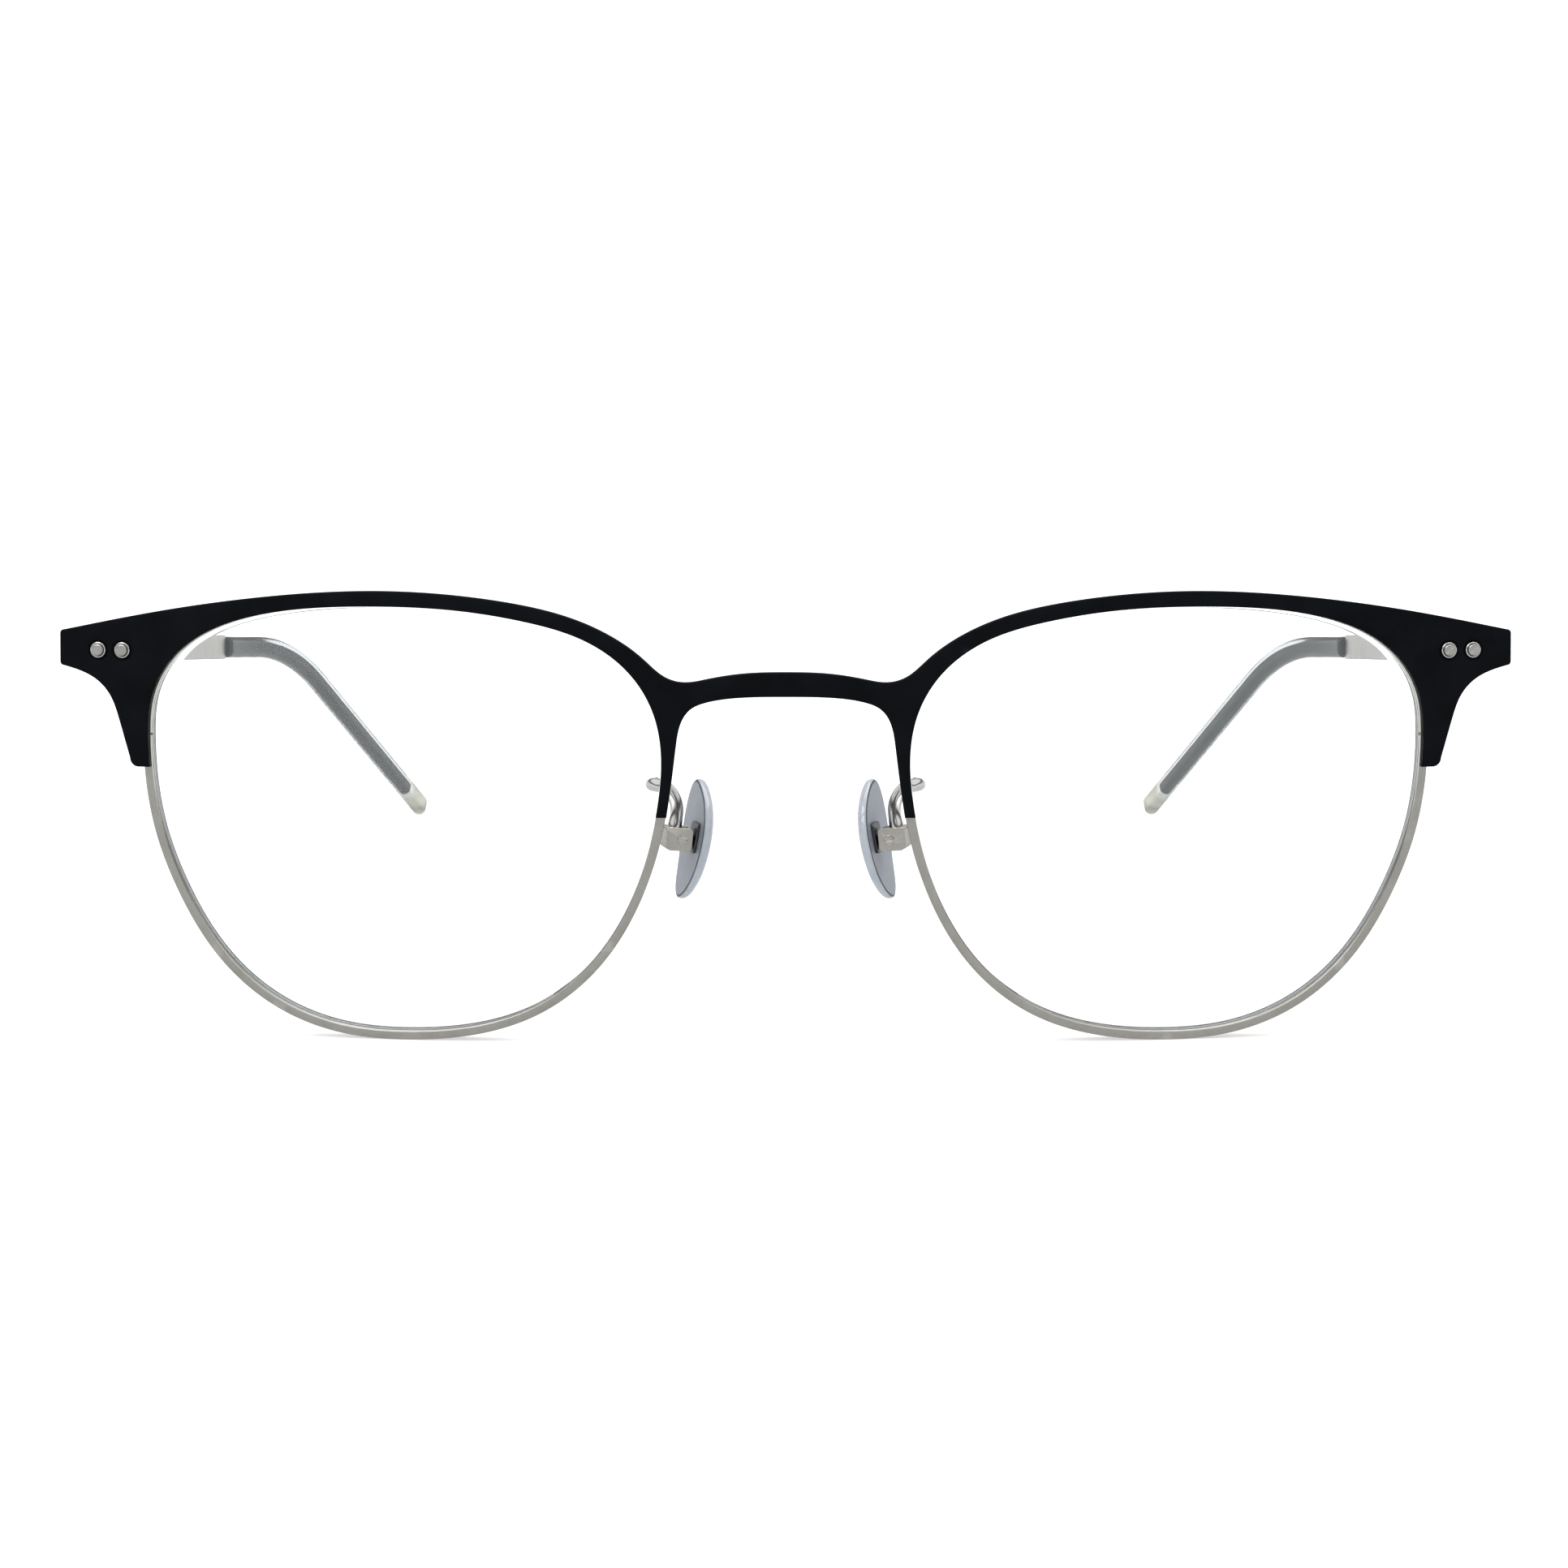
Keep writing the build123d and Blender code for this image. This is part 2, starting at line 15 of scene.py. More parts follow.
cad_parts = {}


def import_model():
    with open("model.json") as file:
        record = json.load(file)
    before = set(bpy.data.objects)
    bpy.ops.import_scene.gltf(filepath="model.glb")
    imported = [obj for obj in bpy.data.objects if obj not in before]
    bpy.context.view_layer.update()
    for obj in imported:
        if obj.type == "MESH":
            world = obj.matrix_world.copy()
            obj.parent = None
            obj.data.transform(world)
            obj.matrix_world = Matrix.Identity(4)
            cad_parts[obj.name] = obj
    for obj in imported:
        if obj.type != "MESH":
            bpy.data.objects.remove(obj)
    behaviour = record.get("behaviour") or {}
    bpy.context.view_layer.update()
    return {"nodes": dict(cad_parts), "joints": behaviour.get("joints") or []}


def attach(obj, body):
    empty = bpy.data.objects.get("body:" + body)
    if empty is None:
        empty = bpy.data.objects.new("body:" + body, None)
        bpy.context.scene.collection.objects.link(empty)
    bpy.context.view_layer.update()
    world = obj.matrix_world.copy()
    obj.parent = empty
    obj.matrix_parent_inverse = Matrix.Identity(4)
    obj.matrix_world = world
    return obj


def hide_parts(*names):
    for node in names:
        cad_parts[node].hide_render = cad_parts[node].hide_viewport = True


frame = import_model()
NODES = frame["nodes"]

# ------------------------------------------------------------------ layout, mm
FRONT_RADIUS = 330.0
FRONT_MID_Z = 21.0
PLATE_THICK = 1.0
RIM_WIDTH = 0.86
RIM_DEPTH = 2.4
RIM_BACK = PLATE_THICK + RIM_DEPTH
RIM_MID = PLATE_THICK + RIM_DEPTH / 2
GROOVE_DEPTH = 0.36
GROOVE_MOUTH = 0.32
GROOVE_FLOOR = 0.16
LENS_THICK = 1.5
SLIT_Z = 29.7
SLIT_HALF = 0.06
RIVETS = [(65.74, 38.1), (68.30, 38.1)]
PIN_R = 0.57
COLLAR_R = 0.77
RECESS_R = 1.0
RECESS_DEPTH = 0.12
PIN_PROUD = 0.32
PIN_DEPTH = 1.6
COLLAR_CLEARANCE = 0.045

TEMPLE_TILT = math.radians(7.1)
TEMPLE_TOP_Z = 38.918
TEMPLE_X = 68.05
TEMPLE_START = 10.15
STRIP_THICK = 0.9
STRIP_FRONT_H = 3.0
STRIP_REAR_H = 2.7
TAPER_MARGIN = 2.0
SPLAY_FRONT = math.radians(2.5)
SPLAY_REAR = math.radians(17.0)
BOW_START = 76.0
BOW_END = 96.0
EAR_RADIUS = 40.0
EAR_DROP = math.radians(26.0)
STRIP_END = 84.1
SLEEVE_START = 85.4
CORE_END = 140.0
TIP_END = 145.16
SLEEVE_THICK = 1.8
SLEEVE_H = 2.4
SLEEVE_CORNER = 0.75
SLEEVE_GAP = 0.02
CORE_THICK = 0.8
CORE_H = 1.05

PAD_SPLAY = math.radians(17.0)
BOX_FLARE = math.radians(6.0)
PAD_FLARE = math.radians(11.0)
PAD_PIVOT = np.array([10.43, 8.4, 18.95])
PAD_OFFSET = 2.275
PAD_THICK = 1.35
ARM_R = 0.64
ARM_SWELL = 0.12
ARM_SWELL_REACH = 0.8

LENS_POINTS = [
    (63.12, 29.5), (62.75, 33.3), (61.3, 36.4), (58.4, 39.15), (53.7, 41.2),
    (47.5, 42.3), (40.5, 42.6), (32.5, 42.3), (25.0, 41.15), (19.3, 39.35),
    (15.2, 36.4), (12.78, 32.5), (12.05, 29.2), (12.0, 26.6), (12.35, 23.4),
    (13.15, 19.3), (15.35, 13.2), (19.2, 7.4), (24.9, 3.03), (31.1, 1.0),
    (37.5, 0.4), (44.0, 0.88), (50.3, 3.2), (55.7, 7.7), (59.75, 14.16),
    (62.0, 20.1),
]
BROW_TOP = [
    (0.0, 36.4), (3.7, 36.3), (7.6, 35.72), (9.9, 35.42), (11.5, 35.85),
    (13.6, 37.55), (17.0, 39.95), (20.9, 41.65), (26.8, 43.05), (32.7, 43.8),
    (38.7, 44.12), (44.8, 44.0), (53.0, 43.3), (61.5, 42.1), (72.0, 40.1),
]
TIP_TOP_CORNER = [(72.0, 40.1), (72.3, 39.98), (72.4, 39.7)]
TIP_FACE = [(72.4, 38.8), (72.4, 37.8)]
TIP_LOW_CORNER = [(72.4, 36.9), (72.3, 36.63), (72.0, 36.5)]
ENDPIECE_LOWER = [
    (72.0, 36.5), (70.2, 35.98), (68.4, 35.05), (67.0, 33.45), (66.3, 31.7),
    (65.6, 29.3), (65.05, 27.4),
]
BRIDGE_LOWER = [
    (0.0, 34.03), (4.2, 33.95), (7.5, 33.5), (9.2, 32.75), (10.1, 31.4),
    (10.55, 29.3), (10.95, 26.1), (11.5, 22.3),
]
PAD_OUTLINE = [
    (3.3, 5.75), (1.6, 5.45), (-0.3, 4.45), (-1.75, 2.95), (-2.5, 0.9),
    (-2.35, -1.2), (-1.55, -3.2), (-0.1, -4.9), (1.6, -5.95), (2.9, -6.1),
    (3.75, -5.3), (4.15, -3.9), (4.5, -1.8), (4.85, 0.6), (4.98, 2.6),
    (4.75, 4.3), (4.2, 5.3),
]
TEMPORAL_CUT = 26.5
NASAL_CUT = 22.3
LEG_CORNER = [(65.05, 27.4), (64.78, 26.75), (64.2, TEMPORAL_CUT)]
LEG_FOOT_X = 63.7
NASAL_FOOT_X = 11.95
TEMPORAL_SIDE_X = 50.0

# (inset, depth) of the plate's rolled front edge; the rear edge mirrors it
PLATE_EDGE = [(0.15, 0.0), (0.085, 0.02), (0.035, 0.06), (0.008, 0.11), (0.0, 0.18)]
# spacing of the points inside the plate's faces, and how far they stay from its edges
FILL_STEP = 1.0
FILL_MARGIN = 0.55
HOLE_MARGIN = 0.25
# (offset from the lens outline, distance from the lens's middle plane), front half
LENS_EDGE_HALF = [
    (-0.13, LENS_THICK / 2), (-0.07, LENS_THICK / 2 - 0.02), (-0.04, LENS_THICK / 2 - 0.07),
    (-0.03, LENS_THICK / 2 - 0.12), (-0.03, 0.27), (0.28, 0.12), (0.31, 0.06),
]
# bands of that edge, from each face, that are polished like the face
LENS_POLISHED = 3
LENS_MIDDLE = np.array([37.5, 21.6])
LENS_RINGS = [0.985, 0.94, 0.86, 0.76, 0.65, 0.54, 0.43, 0.32, 0.21, 0.1]
# (share of the outline, depth below the flat side) of the soft pad
PAD_PROFILE = [
    (0.02, 0.0), (0.25, 0.0), (0.5, 0.0), (0.7, 0.0), (0.84, 0.0), (0.915, 0.0), (0.945, 0.0),
    (0.965, 0.02), (0.982, 0.07), (0.993, 0.14), (1.0, 0.26), (1.0, 0.48), (0.995, 0.62),
    (0.98, 0.78), (0.955, 0.90), (0.91, 1.01), (0.84, 1.11), (0.72, 1.21),
    (0.56, PAD_THICK - 0.07), (0.36, PAD_THICK - 0.02), (0.18, PAD_THICK), (0.02, PAD_THICK),
]
PAD_MIDDLE = np.array([1.35, 0.0])
# where the pad wire leaves the rim, and the points it bends through
ARM_ROOT = (11.75, 24.7)
ARM_SINK = 0.35
ARM_BENDS = [
    (12.1, 4.4, 24.78), (12.8, 5.9, 24.75), (12.93, 7.2, 24.6), (12.2, 8.4, 24.35),
    (11.3, 8.75, 23.55), (10.68, 8.65, 22.2),
]
ARM_LEAVES = np.array([0.1, 0.99, 0.05])
ARM_ENTERS = np.array([0.15, -0.15, -1.0])
ARM_TOP_IN_BOX = np.array([0.6, 0, 1.0])

HINGE_AXIS = np.array([66.0, 11.0, 37.62])
hinge_left = next(j for j in frame["joints"] if j["name"] == "temple_fold_left")
ORIGIN = np.array(hinge_left["pos_m"]) - HINGE_AXIS / 1000


def place(points):
    """Millimetres of the layout to metres of the row frame."""
    return ORIGIN + np.asarray(points, float) / 1000.0


# ------------------------------------------------------------------ curves

def spline(points, count, closed=False, ends=None):
    """Smooth curve through the points, sampled evenly by chord length."""
    p = np.array(points, float)
    if closed:
        p = np.vstack([p, p[:1]])
    h = np.linalg.norm(np.diff(p, axis=0), axis=1)
    t = np.concatenate([[0.0], np.cumsum(h)])
    n = len(p)
    a, b = np.zeros((n, n)), np.zeros_like(p)
    for i in range(1, n - 1):
        a[i, i - 1:i + 2] = 1 / h[i - 1], 2 / h[i - 1] + 2 / h[i], 1 / h[i]
        b[i] = 3 * ((p[i] - p[i - 1]) / h[i - 1] ** 2 + (p[i + 1] - p[i]) / h[i] ** 2)
    if closed:
        a[0, 0], a[0, -1] = 1, -1
        a[-1, -1] += 2 / h[-1]
        a[-1, -2] += 1 / h[-1]
        a[-1, 0] += 2 / h[0]
        a[-1, 1] += 1 / h[0]
        b[-1] = 3 * ((p[-1] - p[-2]) / h[-1] ** 2 + (p[1] - p[0]) / h[0] ** 2)
    elif ends is not None:
        a[0, 0] = a[-1, -1] = 1
        b[0], b[-1] = ends
    else:
        a[0, :2] = 2, 1
        b[0] = 3 * (p[1] - p[0]) / h[0]
        a[-1, -2:] = 1, 2
        b[-1] = 3 * (p[-1] - p[-2]) / h[-1]
    m = np.linalg.solve(a, b)
    at = np.linspace(0, t[-1], count, endpoint=not closed)
    k = np.clip(np.searchsorted(t, at, side="right") - 1, 0, n - 2)
    s = ((at - t[k]) / h[k])[:, None]
    hk = h[k][:, None]
    return ((1 + 2 * s) * (1 - s) ** 2 * p[k] + s * (1 - s) ** 2 * hk * m[k]
            + s * s * (3 - 2 * s) * p[k + 1] + s * s * (s - 1) * hk * m[k + 1])


def arc3(a, b, c, count):
    """Points on the circle through a, b and c, from a to c."""
    a, b, c = (np.array(p, float) for p in (a, b, c))
    m = np.array([b - a, c - a]) * 2
    centre = np.linalg.solve(m, [b @ b - a @ a, c @ c - a @ a])
    radius = np.linalg.norm(a - centre)
    angles = np.unwrap([math.atan2(*(q - centre)[::-1]) for q in (a, b, c)])
    at = np.linspace(angles[0], angles[2], count)
    return centre + radius * np.stack([np.cos(at), np.sin(at)], 1)


def at_height(a, b, z):
    """Point at height z on the line through the outline points a and b."""
    return a + (b - a) * (z - a[1]) / (b[1] - a[1])


def mitred(loop, inset):
    """Closed 2-D loop moved to its left by inset, with mitred corners."""
    ahead = np.roll(loop, -1, 0) - loop
    ahead /= np.linalg.norm(ahead, axis=1)[:, None]
    left = np.stack([-ahead[:, 1], ahead[:, 0]], 1)
    before = np.roll(left, 1, 0)
    bend = 1 + (left * before).sum(1)
    move = (left + before) / np.maximum(bend, 0.5)[:, None]
    return loop + move * inset


def on_front(x, z, depth):
    """Points under outline points (x, z), depth mm below the front sphere."""
    x, z, depth = np.broadcast_arrays(*(np.asarray(v, float) for v in (x, z, depth)))
    ray = np.stack([x, np.full(x.shape, -FRONT_RADIUS), z - FRONT_MID_Z], -1)
    ray /= np.linalg.norm(ray, axis=-1)[..., None]
    middle = np.array([0, FRONT_RADIUS, FRONT_MID_Z])
    return middle + ray * (FRONT_RADIUS - depth)[..., None]


def to_outline(p):
    """Outline point (x, z) of a point on the front: the inverse of on_front."""
    k = FRONT_RADIUS / (FRONT_RADIUS - p[..., 1])
    return np.stack([p[..., 0] * k, FRONT_MID_Z + (p[..., 2] - FRONT_MID_Z) * k], -1)


LENS = spline(LENS_POINTS, 360, closed=True)
LENS_TURN = np.roll(LENS, -1, 0) - np.roll(LENS, 1, 0)
LENS_TURN /= np.linalg.norm(LENS_TURN, axis=1)[:, None]
LENS_OUT = np.stack([LENS_TURN[:, 1], -LENS_TURN[:, 0]], 1)


# ------------------------------------------------------------------ temple line

def temple_point(w):
    """Centre line of the temple at distance w back, in the temple's own tilted frame."""
    rho = (BOW_END - BOW_START) / (math.sin(SPLAY_REAR) - math.sin(SPLAY_FRONT))
    x = TEMPLE_X - (min(w, BOW_START) - TEMPLE_START) * math.tan(SPLAY_FRONT)
    if w <= BOW_START:
        return np.array([x, w, 0.0])
    c = math.asin(math.sin(SPLAY_FRONT) + (min(w, BOW_END) - BOW_START) / rho)
    x -= rho * (math.cos(SPLAY_FRONT) - math.cos(c))
    if w <= BOW_END:
        return np.array([x, w, 0.0])
    x -= (w - BOW_END) * math.tan(SPLAY_REAR)
    run = (w - BOW_END) / math.cos(SPLAY_REAR)
    bend = EAR_RADIUS * math.sin(EAR_DROP)
    if run <= bend:
        return np.array([x, w, math.sqrt(EAR_RADIUS ** 2 - run ** 2) - EAR_RADIUS])
    fall = EAR_RADIUS * (1 - math.cos(EAR_DROP)) + (run - bend) * math.tan(EAR_DROP)
    return np.array([x, w, -fall])


def temple_frame(w):
    """Centre, outward and upward directions of the temple's section at w."""
    ahead = temple_point(w + 0.02) - temple_point(w - 0.02)
    ahead /= np.linalg.norm(ahead)
    out = np.cross(ahead, [0, 0, 1.0])
    out /= np.linalg.norm(out)
    return temple_point(w), out, np.cross(out, ahead)


def temple_place(points):
    """Temple frame to layout: sloping down to the rear from the endpiece."""
    p = np.asarray(points, float)
    c, s = math.cos(TEMPLE_TILT), math.sin(TEMPLE_TILT)
    return np.stack([p[..., 0], p[..., 1] * c + p[..., 2] * s,
                     TEMPLE_TOP_Z - p[..., 1] * s + p[..., 2] * c], -1)


# ------------------------------------------------------------------ mesh making

class Shape:
    """Vertices and faces of one piece, in layout millimetres."""

    def __init__(self):
        self.verts, self.faces = [], []

    def add(self, points):
        """Adds points and returns their indices."""
        first = len(self.verts)
        self.verts.extend(np.asarray(points, float).reshape(-1, 3).tolist())
        return list(range(first, len(self.verts)))

    def bridge(self, a, b):
        """Quads between two closed rings of equal length."""
        for i in range(len(a)):
            j = (i + 1) % len(a)
            self.faces.append((a[i], a[j], b[j], b[i]))

    def tube(self, loops, caps=True):
        """Skin over a row of loops, with flat caps unless told otherwise."""
        rings = [self.add(loop) for loop in loops]
        for a, b in zip(rings, rings[1:]):
            self.bridge(a, b)
        if caps:
            self.faces.append(tuple(reversed(rings[0])))
            self.faces.append(tuple(rings[-1]))
        return rings

    def piece(self, name, material, body, slot, nodes, mirror=False):
        """Finished piece of this shape, mirrored to the wearer's right if asked."""
        sign = -1.0 if mirror else 1.0
        verts = place(np.array(self.verts) * [sign, 1, 1])
        mesh = bpy.data.meshes.new(name)
        mesh.from_pydata(verts.tolist(), [], self.faces)
        mesh.validate()
        bm = bmesh.new()
        bm.from_mesh(mesh)
        bmesh.ops.recalc_face_normals(bm, faces=bm.faces)
        bm.to_mesh(mesh)
        bm.free()
        return finish_piece(name, mesh, material, body, nodes)


def finish_piece(name, mesh, material, body, nodes):
    """Object with its material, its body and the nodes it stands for."""
    mesh.materials.clear()
    mesh.materials.append(material)
    mesh.polygons.foreach_set("use_smooth", [True] * len(mesh.polygons))
    obj = bpy.data.objects.new(name, mesh)
    bpy.context.scene.collection.objects.link(obj)
    weighted = obj.modifiers.new("normals", "WEIGHTED_NORMAL")
    weighted.keep_sharp = True
    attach(obj, body)
    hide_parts(*nodes)
    return obj


def softened(cad_node, name, material, body, width, segments=2):
    """New piece from a CAD node with its machined edges broken by a small bevel."""
    mesh = NODES[cad_node].data.copy()
    bm = bmesh.new()
    bm.from_mesh(mesh)
    bmesh.ops.remove_doubles(bm, verts=bm.verts, dist=2e-6)
    bmesh.ops.dissolve_limit(
        bm, angle_limit=math.radians(1.0), verts=bm.verts, edges=bm.edges)
    bm.to_mesh(mesh)
    bm.free()
    obj = finish_piece(name, mesh, material, body, [cad_node])
    bevel = obj.modifiers.new("edges", "BEVEL")
    bevel.width = width / 1000
    bevel.segments = segments
    bevel.limit_method = "ANGLE"
    bevel.angle_limit = math.radians(38)
    bevel.use_clamp_overlap = True
    obj.modifiers.move(1, 0)


def rounded_rect(a, b, r, steps=5):
    """Loop of a rectangle with half sizes a and b and corner radius r."""
    r = max(min(r, a - 1e-3, b - 1e-3), 1e-3)
    corners = (a - r, b - r, 0), (r - a, b - r, 90), (r - a, r - b, 180), (a - r, r - b, 270)
    pts = []
    for cx, cy, start in corners:
        for i in range(steps + 1):
            t = math.radians(start + 90 * i / steps)
            pts.append((cx + r * math.cos(t), cy + r * math.sin(t)))
    return np.array(pts)


def lathe(shape, axis_point, axis, profile, count=48):
    """Rings of point indices about an axis, one for each (radius, height) pair."""
    axis = np.array(axis, float) / np.linalg.norm(axis)
    side = np.cross(axis, [0, 0, 1.0])
    side /= np.linalg.norm(side)
    other = np.cross(axis, side)
    turn = np.linspace(0, 2 * math.pi, count, endpoint=False)
    ring = np.cos(turn)[:, None] * side + np.sin(turn)[:, None] * other
    return [shape.add(np.array(axis_point) + ring * r + axis * h) for r, h in profile]


def inside(points, loop):
    """True for the 2-D points within a closed loop, by crossings."""
    x, y = points[:, :1], points[:, 1:2]
    a, b = loop, np.roll(loop, -1, 0)
    spans = (a[:, 1] > y) != (b[:, 1] > y)
    rise = np.where(b[:, 1] == a[:, 1], 1e-12, b[:, 1] - a[:, 1])
    cross = (b[:, 0] - a[:, 0]) * (y - a[:, 1]) / rise + a[:, 0]
    return (spans & (x < cross)).sum(1) % 2 == 1


# ------------------------------------------------------------------ materials

EDGE_HIGHLIGHT = 1.12   # how much brighter a metal's convex edges are painted: a painted highlight


def new_material(name):
    mat = bpy.data.materials.new(name)
    mat.use_nodes = True
    tree = mat.node_tree
    bsdf = tree.nodes["Principled BSDF"]
    return mat, tree, bsdf


def node(tree, kind, links=(), **values):
    """Shader node; a value with a capital is an input, any other is a property."""
    made = tree.nodes.new(kind)
    for key, value in values.items():
        if key[0].isupper():
            made.inputs[key.replace("_", " ")].default_value = value
        else:
            setattr(made, key, value)
    for socket, source in links:
        tree.links.new(source, made.inputs[socket])
    return made


def ramp(tree, source, stops):
    """Colour of source along (position, colour) stops."""
    made = node(tree, "ShaderNodeValToRGB", [(0, source)])
    cr = made.color_ramp
    while len(cr.elements) < len(stops):
        cr.elements.new(0.5)
    for element, (at, colour) in zip(cr.elements, stops):
        element.position = at
        element.color = (*colour, 1) if len(colour) == 3 else colour
    return made.outputs[0]


def grey(v):
    return (v, v, v)


def noise(tree, scale, stretch=(1, 1, 1), detail=3.0, rough=0.55):
    """Noise with a feature size of about 1/scale mm."""
    source = node(tree, "ShaderNodeTexCoord").outputs["Object"]
    grown = node(tree, "ShaderNodeVectorMath", [(0, source)], operation="MULTIPLY")
    grown.inputs[1].default_value = [1000 * s for s in stretch]
    return node(tree, "ShaderNodeTexNoise", [("Vector", grown.outputs[0])],
                Scale=scale, Detail=detail, Roughness=rough).outputs["Fac"]


def bump(tree, bsdf, height, strength, distance):
    """Surface relief from height, distance in millimetres."""
    made = node(tree, "ShaderNodeBump", [("Height", height)],
                Strength=strength, Distance=distance / 1000)
    tree.links.new(made.outputs[0], bsdf.inputs["Normal"])


def edge_highlight_share(tree, low, high):
    """0 on faces, 1 on convex edges, where a painted highlight goes."""
    point = node(tree, "ShaderNodeNewGeometry").outputs["Pointiness"]
    return ramp(tree, point, [(low, grey(0)), (high, grey(1))])


def mixed(tree, share, a, b):
    """Colour a to colour b by share; each is a colour or a socket."""
    made = tree.nodes.new("ShaderNodeMix")
    made.data_type = "RGBA"
    tree.links.new(share, made.inputs[0])
    for socket, value in ((6, a), (7, b)):
        if isinstance(value, tuple):
            made.inputs[socket].default_value = (*value, 1)
        else:
            tree.links.new(value, made.inputs[socket])
    return made.outputs[2]


def metal(name, dark, light, rough, brushed=(1, 1, 1), grain=6.0, depth=0.004):
    """Satin or polished metal: grain along one direction, faint clouding, and convex edges painted
    brighter as a painted highlight.
    """
    mat, tree, bsdf = new_material(name)
    cloud = noise(tree, 0.5, detail=2)
    lines = noise(tree, grain, brushed, detail=4, rough=0.65)
    both = node(tree, "ShaderNodeMath", [(0, cloud), (1, lines)], operation="ADD").outputs[0]
    half = node(tree, "ShaderNodeMath", [(0, both)], operation="MULTIPLY")
    half.inputs[1].default_value = 0.5
    tone = ramp(tree, half.outputs[0], [(0.36, dark), (0.64, light)])
    highlit_edges = edge_highlight_share(tree, 0.52, 0.60)
    # painted highlight: convex edges get a brighter colour than the faces
    bright = tuple(min(1.0, EDGE_HIGHLIGHT * c) for c in light)
    colour = mixed(tree, highlit_edges, tone, bright)
    tree.links.new(colour, bsdf.inputs["Base Color"])
    tree.links.new(ramp(tree, lines, [(0.3, grey(rough[0])), (0.7, grey(rough[1]))]),
                   bsdf.inputs["Roughness"])
    bsdf.inputs["Metallic"].default_value = 1.0
    bump(tree, bsdf, lines, 0.35, depth)
    return mat


def black_paint():
    """Matt black coating with fine orange peel and convex edges tinted faintly blue as a painted
    highlight.
    """
    mat, tree, bsdf = new_material("brow_black")
    peel = noise(tree, 7.0, detail=3)
    cloud = noise(tree, 0.25, detail=2)
    base = ramp(tree, cloud, [(0.35, (0.0016, 0.0024, 0.0034)),
                              (0.65, (0.0028, 0.0038, 0.0052))])
    highlit_edges = edge_highlight_share(tree, 0.56, 0.66)
    # painted highlight: a faint bluish tint on the plate's convex edges
    colour = mixed(tree, highlit_edges, base, (0.005, 0.007, 0.013))
    tree.links.new(colour, bsdf.inputs["Base Color"])
    tree.links.new(ramp(tree, peel, [(0.3, grey(0.46)), (0.7, grey(0.58))]),
                   bsdf.inputs["Roughness"])
    bsdf.inputs["Specular IOR Level"].default_value = 0.05
    bump(tree, bsdf, peel, 0.3, 0.006)
    return mat


def lens_glass():
    """Clear, very faintly green lens."""
    mat, tree, bsdf = new_material("lens_clear")
    haze = noise(tree, 0.08, detail=2)
    tree.links.new(ramp(tree, haze, [(0.35, (0.965, 0.985, 0.975)),
                                     (0.65, (0.985, 0.995, 0.99))]),
                   bsdf.inputs["Base Color"])
    tree.links.new(ramp(tree, haze, [(0.3, grey(0.0)), (0.7, grey(0.012))]),
                   bsdf.inputs["Roughness"])
    bsdf.inputs["Transmission Weight"].default_value = 1.0
    bsdf.inputs["IOR"].default_value = 1.5
    bsdf.inputs["Coat Weight"].default_value = 0.0
    return mat


def ground_edge():
    """Frosted, ground edge of the lenses."""
    mat, tree, bsdf = new_material("lens_edge")
    grit = noise(tree, 8.0, detail=3)
    tree.links.new(ramp(tree, grit, [(0.35, (0.70, 0.73, 0.74)), (0.65, (0.80, 0.83, 0.84))]),
                   bsdf.inputs["Base Color"])
    tree.links.new(ramp(tree, grit, [(0.3, grey(0.55)), (0.7, grey(0.70))]),
                   bsdf.inputs["Roughness"])
    bsdf.inputs["Transmission Weight"].default_value = 0.35
    bump(tree, bsdf, grit, 0.4, 0.004)
    return mat


def soft_plastic(name, dark, light, rough, through, ior=1.45, grain=1.2, depth=0.01, coat=0.0):
    """Plastic or silicone; through is the share of light that passes into it."""
    mat, tree, bsdf = new_material(name)
    cloud = noise(tree, grain, detail=3)
    tree.links.new(ramp(tree, cloud, [(0.35, dark), (0.65, light)]), bsdf.inputs["Base Color"])
    tree.links.new(ramp(tree, cloud, [(0.3, grey(rough[0])), (0.7, grey(rough[1]))]),
                   bsdf.inputs["Roughness"])
    bsdf.inputs["Transmission Weight"].default_value = through
    bsdf.inputs["IOR"].default_value = ior
    bsdf.inputs["Coat Weight"].default_value = coat
    bump(tree, bsdf, cloud, 0.3, depth)
    return mat


def sleeve_plastic():
    """Clear bluish sleeve that turns to milky cream past the end of the core wire."""
    mat, tree, bsdf = new_material("sleeve_clear")
    cloud = noise(tree, 0.35, detail=2)
    bluish = ramp(tree, cloud, [(0.35, (0.725, 0.765, 0.80)), (0.65, (0.755, 0.79, 0.82))])
    cream = ramp(tree, cloud, [(0.35, (0.49, 0.49, 0.435)), (0.65, (0.53, 0.525, 0.47))])
    along = node(tree, "ShaderNodeSeparateXYZ",
                 [(0, node(tree, "ShaderNodeTexCoord").outputs["Object"])]).outputs["Y"]
    turn = temple_place(temple_point(CORE_END))[1] / 1000 + ORIGIN[1]
    tip = node(tree, "ShaderNodeMapRange", [(0, along)],
               From_Min=turn - 0.0004, From_Max=turn + 0.0004)
    tree.links.new(mixed(tree, tip.outputs[0], bluish, cream), bsdf.inputs["Base Color"])
    smooth = ramp(tree, cloud, [(0.3, grey(0.10)), (0.7, grey(0.16))])
    milky = ramp(tree, cloud, [(0.3, grey(0.46)), (0.7, grey(0.54))])
    tree.links.new(mixed(tree, tip.outputs[0], smooth, milky), bsdf.inputs["Roughness"])
    bsdf.inputs["Transmission Weight"].default_value = 0.95
    bsdf.inputs["IOR"].default_value = 1.36
    bump(tree, bsdf, cloud, 0.2, 0.002)
    return mat


